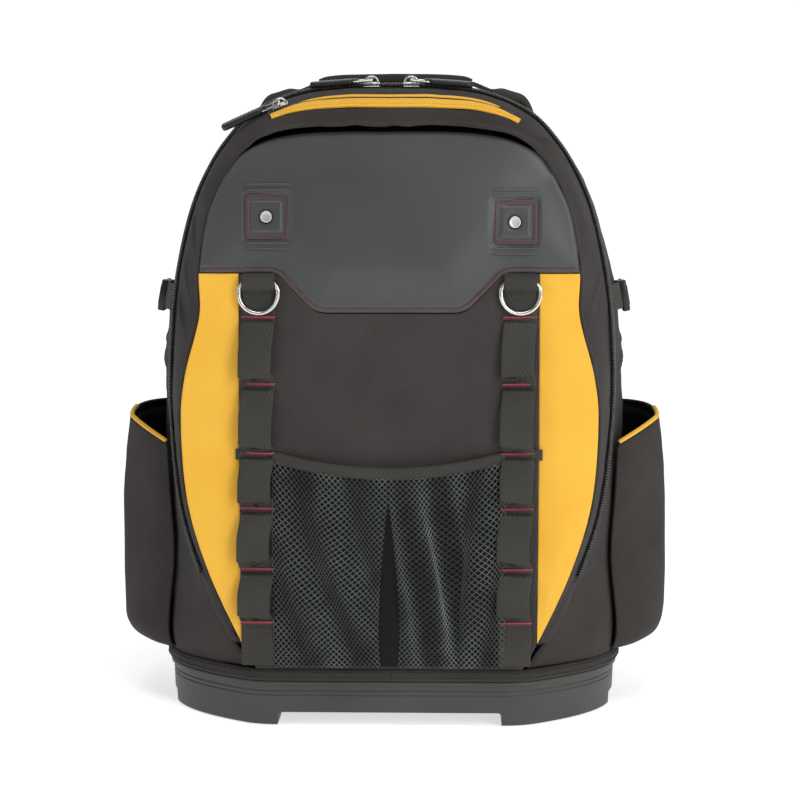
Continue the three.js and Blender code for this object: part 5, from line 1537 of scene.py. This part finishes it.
# %% Binding over the seam between cloth and tray
low = TRAY_HEIGHT + GAP
turn = np.linspace(-0.5 * math.pi, 0.5 * math.pi, 15)
rise = low + BINDING_HEIGHT / 2 + BINDING_HEIGHT / 2 * np.sin(turn)
profile = np.stack([0.1 + 3.1 * np.cos(turn) ** 0.55, rise], axis=-1)
around = np.stack([PLAN_LENGTH * 0.9, 0 * PLAN_LENGTH, 0 * PLAN_LENGTH], axis=-1)
wave = 0.5 * lumps(around, 9, 81) + 0.35 * lumps(around, 26, 82)
grid = round_plan(profile)
grid[..., :2] += (wave[:, None] * np.cos(turn)[None])[..., None] * PLAN_OUT[:, None]
wrapped = np.concatenate([grid, grid[:1]])
cloth("tray_binding", wrapped, 1.6, body_cloth, outward=1, stands_for=["base_binding"])
for name, height in (("lower_binding_stitches", 36.0), ("upper_binding_stitches", 40.0)):
    line = np.c_[PLAN + (3.15 + wave[:, None]) * PLAN_OUT, np.full(len(PLAN), height)]
    centres, along = spaced(line, 3.3)
    shares = (np.arange(len(centres)) + 0.5) / len(centres)
    ways = unit(np.c_[resample(PLAN_OUT, shares), np.zeros(len(centres))])
    points, faces = copies(bead(2.4, 0.8, 0.5), centres, along, ways)
    make_mesh(name, points, faces, dark_thread, slot="body_cloth")

# %% [markdown]
# ### The back
# The bag's back lies against the wearer. The photograph doesn't show it, so it is kept plain: a flat
# panel, two long pads with sewn channels, a lumbar pad and two shoulder straps. Foam in a tight
# cover is what cloth simulation does well: air pressure fills the cover, and the cloth settles by itself.

# %% Back panel
def back_edge(low, high, count):
    """The shell's rim at the back, flat in x and z."""
    return shell(np.linspace(low, high, count), np.full(count, BODY_DEPTH))[:, (0, 2)]


right_edge = back_edge(0, CORNER, 160)
top_edge = back_edge(RIBS - CORNER, CORNER, 300)
foot_edge = np.array([(-right_edge[0, 0], CLOTH_BASE), (right_edge[0, 0], CLOTH_BASE)])
shares = np.linspace(0, 1, 80), np.linspace(0, 1, 100)
flat = fill(foot_edge, top_edge, right_edge * (-1, 1), right_edge, *shares)
flat = np.stack([flat[..., 0] * 0.998, np.full(flat.shape[:2], BACK_FACE), flat[..., 1]], axis=-1)
edge = lay_of(flat)[..., 2]
flat[..., 1] += 0.5 * lumps(flat, 34, 91) * eased(edge, 2, 20) - 2.4 * np.exp(-edge / 1.6)
cloth("back_cloth", flat, BAND_WALL, body_cloth, outward=-1, stands_for=["back_panel"])


# %% Filling a cover with foam
VOXEL, PRESSURE = 4.5, 4.0


def filled(name, points, faces, voxel, pressure, cap):
    """A closed cover, remeshed evenly and blown up by cloth simulation.

    The cap is the furthest that a point may move, in millimetres."""
    cover = make_mesh(name, points, faces, air_mesh)
    remesh = cover.modifiers.new("even", "REMESH")
    remesh.mode, remesh.voxel_size = "VOXEL", voxel * MM
    graph = bpy.context.evaluated_depsgraph_get()
    even = bpy.data.meshes.new_from_object(cover.evaluated_get(graph))
    cover.modifiers.clear()
    cover.data = even
    start = np.array([v.co for v in even.vertices])
    fabric = cover.modifiers.new("fabric", "CLOTH")
    fabric.settings.use_pressure = True
    fabric.settings.uniform_pressure_force = pressure
    fabric.settings.effector_weights.gravity = 0
    fabric.settings.quality = 4
    for frame_number in range(1, 21):
        bpy.context.scene.frame_set(frame_number)
    graph = bpy.context.evaluated_depsgraph_get()
    moved = np.array([v.co for v in cover.evaluated_get(graph).data.vertices]) - start
    far = np.linalg.norm(moved, axis=1, keepdims=True)
    moved *= np.minimum(1, cap * MM / np.maximum(far, 1e-9))
    cover.modifiers.clear()
    even.vertices.foreach_set("co", (start + moved).ravel())
    bpy.context.scene.frame_set(1)
    print(name, "swelled by", round(float(np.linalg.norm(moved, axis=1).max()) * 1000, 1), "mm")
    even.polygons.foreach_set("use_smooth", [True] * len(even.polygons))
    finer = cover.modifiers.new("finer", "SUBSURF")
    finer.levels = finer.render_levels = 1
    graph = bpy.context.evaluated_depsgraph_get()
    fine = bpy.data.meshes.new_from_object(cover.evaluated_get(graph))
    cover.modifiers.clear()
    cover.data = fine
    return cover


def in_millimetres(obj):
    return np.array([v.co for v in obj.data.vertices]) / MM - (0, FRONT, 0)


def set_millimetres(obj, points):
    obj.data.vertices.foreach_set("co", ((points + (0, FRONT, 0)) * MM).ravel())


# %% Back pads with sewn channels, and the lumbar pad
CHANNELS, CHANNEL_WIDTH = (190, 245, 300, 352), 3.4
PADS = [
    ("left_back_pad", "left_back_cushion", 0.0),
    ("right_back_pad", "right_back_cushion", 0.0),
    ("lumbar_pad", "lumbar_cushion", 47.0),
]
for node, name, along_at in PADS:
    low, high = (np.array(c) / MM - (0, FRONT, 0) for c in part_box(node))
    centre, size = (low + high) / 2, high - low
    points, faces = rounded_block((size[0] - 4, size[2] - 4, size[1] - 3.0), 5.0)
    points = points[:, (0, 2, 1)] + centre
    faces = [face[::-1] for face in faces]
    pad = filled(name, points, faces, VOXEL, PRESSURE, 5.0)
    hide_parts(node)
    p = in_millimetres(pad)
    behind = eased(p[:, 1], centre[1] - 1, high[1] - 3)
    heights = [z for z in CHANNELS if low[2] < z < high[2]]
    for z in heights:
        p[:, 1] -= 4.2 * behind * np.exp(-((p[:, 2] - z) / CHANNEL_WIDTH) ** 2)
    if along_at:
        for x in (-along_at, 0, along_at):
            p[:, 1] -= 3.6 * behind * np.exp(-((p[:, 0] - x) / CHANNEL_WIDTH) ** 2)
    p[:, 1] = np.clip(p[:, 1], low[1] - 0.1, high[1] + 3)
    set_millimetres(pad, p)
    turn = np.linspace(0, 2 * math.pi, 181)[:-1]
    ring = np.stack([flattened(np.cos(turn), 0.25), 0 * turn, flattened(np.sin(turn), 0.25)], axis=-1)
    line = ring * (size[0] / 2 - 1.2, 0, size[2] / 2 - 1.2) + (centre[0], low[1] + 1.6, centre[2])
    make_mesh(f"{name}_edging", *tube(line, 1.7, closed=True), webbing)

# %% [markdown]
# ### Shoulder straps
# Each strap is a curved pad with a bound edge. Webbing is sewn down its middle, runs through a
# plastic adjuster below it and goes back to the foot of the bag.

# %% Shoulder straps, their webbing and adjusters
STRAP_TOP, STRAP_FOOT, STRAP_TOP_X, STRAP_FOOT_X, STRAP_BOW = 432.0, 128.0, 46.0, 90.0, 46.0
BENDS = np.array([(0, 0, 0), (0.04, 0.02, 0.08), (0.105, 0.09, 0.51), (0.27, 0.25, 0.9), (0.467, 0.43, 1.0),
                  (0.697, 0.64, 0.9), (0.895, 0.86, 0.66), (1, 1, 0.53)])
WEB_BENDS = np.array([(0.6, 0.5, 0.55), (0.78, 0.8, 0.25), (0.9, 0.95, 0.03), (1, 1, 0)])
WEB_FOOT, WEB_X = 52.0, 126.0
LOCK_WIDTH, BAR_PITCH, SEWN_HEIGHT = 32.0, 8.7, 8.3

for name, side in SIDES:
    seat = 6.5 + 3 * GAP
    down, out, bow = BENDS.T
    bends = np.stack([
        side * (STRAP_TOP_X + (STRAP_FOOT_X - STRAP_TOP_X) * out),
        BACK_FACE + seat + (STRAP_BOW - seat) * bow,
        STRAP_TOP + (STRAP_FOOT - STRAP_TOP) * down,
    ], axis=-1)
    path = spline(bends, 130)
    flat_across = np.broadcast_to((1.0, 0, 0), path.shape)
    share = np.linspace(0, 1, 130)
    narrow = 1 - 0.18 * eased(share, 0.72, 1.0) - 0.06 * (1 - eased(share, 0, 0.12))
    points, faces = band_along(path, flat_across, 28.5 * narrow, 4.6, sides=36, power=0.5)[:2]
    strap = filled(f"{name}_strap_pad", points.reshape(-1, 3), faces, VOXEL, PRESSURE, 3.0)
    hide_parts(f"{name}_shoulder_strap")
    tangent = unit(np.gradient(path, axis=0))
    across = unit(np.array([1.0, 0, 0]) - tangent * tangent[:, :1])
    normal = np.cross(tangent, across)
    normal *= np.sign(normal[:, 1:2])
    for edge, sign in (("inner", -1), ("outer", 1)):
        line = path + sign * (29.6 * narrow)[:, None] * across
        make_mesh(f"{name}_strap_{edge}_edging", *tube(line[2:-2], 1.6, flat=1.6), webbing)
    line = path[8:-1] + SEWN_HEIGHT * normal[8:-1]
    points, faces, lay = band_along(line, across[8:-1], WEBBING / 2, 0.7, sides=24, power=0.4)
    make_mesh(f"{name}_strap_sewn_webbing", points, faces, webbing, lay=lay)
    end, way = bends[-1], unit(bends[-1] - bends[-2])
    basis = np.stack([(1.0, 0, 0), unit(np.cross(way, (1.0, 0, 0))), -way], axis=-1)
    middle = end + way * (10.0 + 2 * GAP)
    shapes = []
    for x in (-15.5, 15.5):
        shapes.append(placed(rounded_block((3.2, 4.8, 20.0), 1.4), middle, basis, (x, 0, 0)))
    for z in (-BAR_PITCH, 0.0, BAR_PITCH):
        shapes.append(placed(rounded_block((LOCK_WIDTH, 4.4, 2.6), 1.1), middle, basis, (0, 0, z)))
    make_mesh(f"{name}_ladder_lock", *joined(shapes), black_plastic, stands_for=[f"{name}_strap_adjuster"])
    below = 20.0 + 5 * GAP
    down, out, bow = WEB_BENDS.T
    web_seat = 0.8 + 2 * GAP
    rest = np.stack([
        side * (STRAP_FOOT_X + (WEB_X - STRAP_FOOT_X) * out),
        BACK_FACE + web_seat + (STRAP_BOW - web_seat) * bow * 0.53,
        STRAP_FOOT + (WEB_FOOT - STRAP_FOOT) * down,
    ], axis=-1)
    line = spline(np.concatenate([[end + way * below, end + way * (below + 10)], rest]), 70)
    level = np.broadcast_to((1.0, 0, 0), line.shape)
    points, faces, lay = band_along(line, level, WEBBING / 2, 0.8, sides=24, power=0.4)
    make_mesh(f"{name}_lower_webbing", points, faces, webbing, stands_for=[f"{name}_strap_webbing"], lay=lay)
print("straps bow out to", round(STRAP_BOW), "mm behind the back")

# %% [markdown]
# ### Light and camera
# The photograph is a studio shot on white: large soft lights in front, stronger from the right, and
# white paper swept up behind the object so that no horizon shows. The paper glows a little by itself,
# which keeps it white while the room stays dim enough for the cloth to have dark folds.

# %% Paper sweep and lights
paper, tree, shader = finish_for("studio_paper", {"Base Color": linear("#f2f2f1"), "Roughness": 0.95})
shader.inputs["Emission Color"].default_value = (1, 1, 1, 1)
shader.inputs["Emission Strength"].default_value = 0.62
shader.inputs["Specular IOR Level"].default_value = 0.0
swept = [(1.2 + 1.5 * math.sin(t), 1.5 - 1.5 * math.cos(t)) for t in np.linspace(0, math.pi / 2, 24)]
bend = [(-4.0, 0.0), *swept, (2.7, 5.0)]
vertices = [(x, y, z) for y, z in bend for x in (-1.6, 1.6)]
mesh = bpy.data.meshes.new("paper_sweep")
mesh.from_pydata(vertices, [], [(2 * k, 2 * k + 1, 2 * k + 3, 2 * k + 2) for k in range(len(bend) - 1)])
mesh.polygons.foreach_set("use_smooth", [True] * len(mesh.polygons))
mesh.materials.append(paper)
floor = bpy.data.objects.new("paper_sweep", mesh)
floor.location.z = -0.0006
bpy.context.scene.collection.objects.link(floor)


def add_light(name, place, aim, size, power):
    data = bpy.data.lights.new(name, "AREA")
    data.shape = "RECTANGLE"
    data.size, data.size_y = size
    data.energy = power
    light = bpy.data.objects.new(name, data)
    light.location = place
    light.rotation_euler = (Vector(aim) - Vector(place)).to_track_quat("-Z", "Y").to_euler()
    bpy.context.scene.collection.objects.link(light)


add_light("key_right", (1.15, -1.75, 1.0), (0, 0, 0.25), (0.8, 1.5), 19)
add_light("fill_left", (-1.7, -1.5, 1.0), (0, 0, 0.25), (0.7, 1.6), 5.5)
add_light("top", (0.0, -0.7, 2.0), (0, 0, 0.2), (1.4, 0.8), 15)
add_light("edge_right", (1.7, -0.35, 0.4), (0, -0.1, 0.25), (0.25, 1.3), 6)
add_light("edge_left", (-1.7, -0.35, 0.4), (0, -0.1, 0.25), (0.25, 1.3), 1.5)

world = bpy.data.worlds.new("studio")
bpy.context.scene.world = world
world.use_nodes = True
world.node_tree.nodes["Background"].inputs["Color"].default_value = (1, 1, 1, 1)
world.node_tree.nodes["Background"].inputs["Strength"].default_value = 0.12
bpy.context.scene.view_settings.view_transform = "Standard"

# %% Camera
TURN, TILT, DISTANCE = math.radians(1.5), math.radians(5.5), 1.5
LENS, SENSOR = 93.735, 36
aim = Vector((0.0078, FRONT * MM, 0.2395))  # the place in the middle of the picture
forward = Vector((-math.sin(TURN) * math.cos(TILT), math.cos(TURN) * math.cos(TILT), -math.sin(TILT)))
camera_data = bpy.data.cameras.new("camera")
camera_data.sensor_width = SENSOR
camera_data.lens = LENS
camera = bpy.data.objects.new("camera", camera_data)
camera.location = aim - forward * DISTANCE
camera.rotation_euler = forward.to_track_quat("-Z", "Y").to_euler()
bpy.context.scene.collection.objects.link(camera)
bpy.context.scene.camera = camera
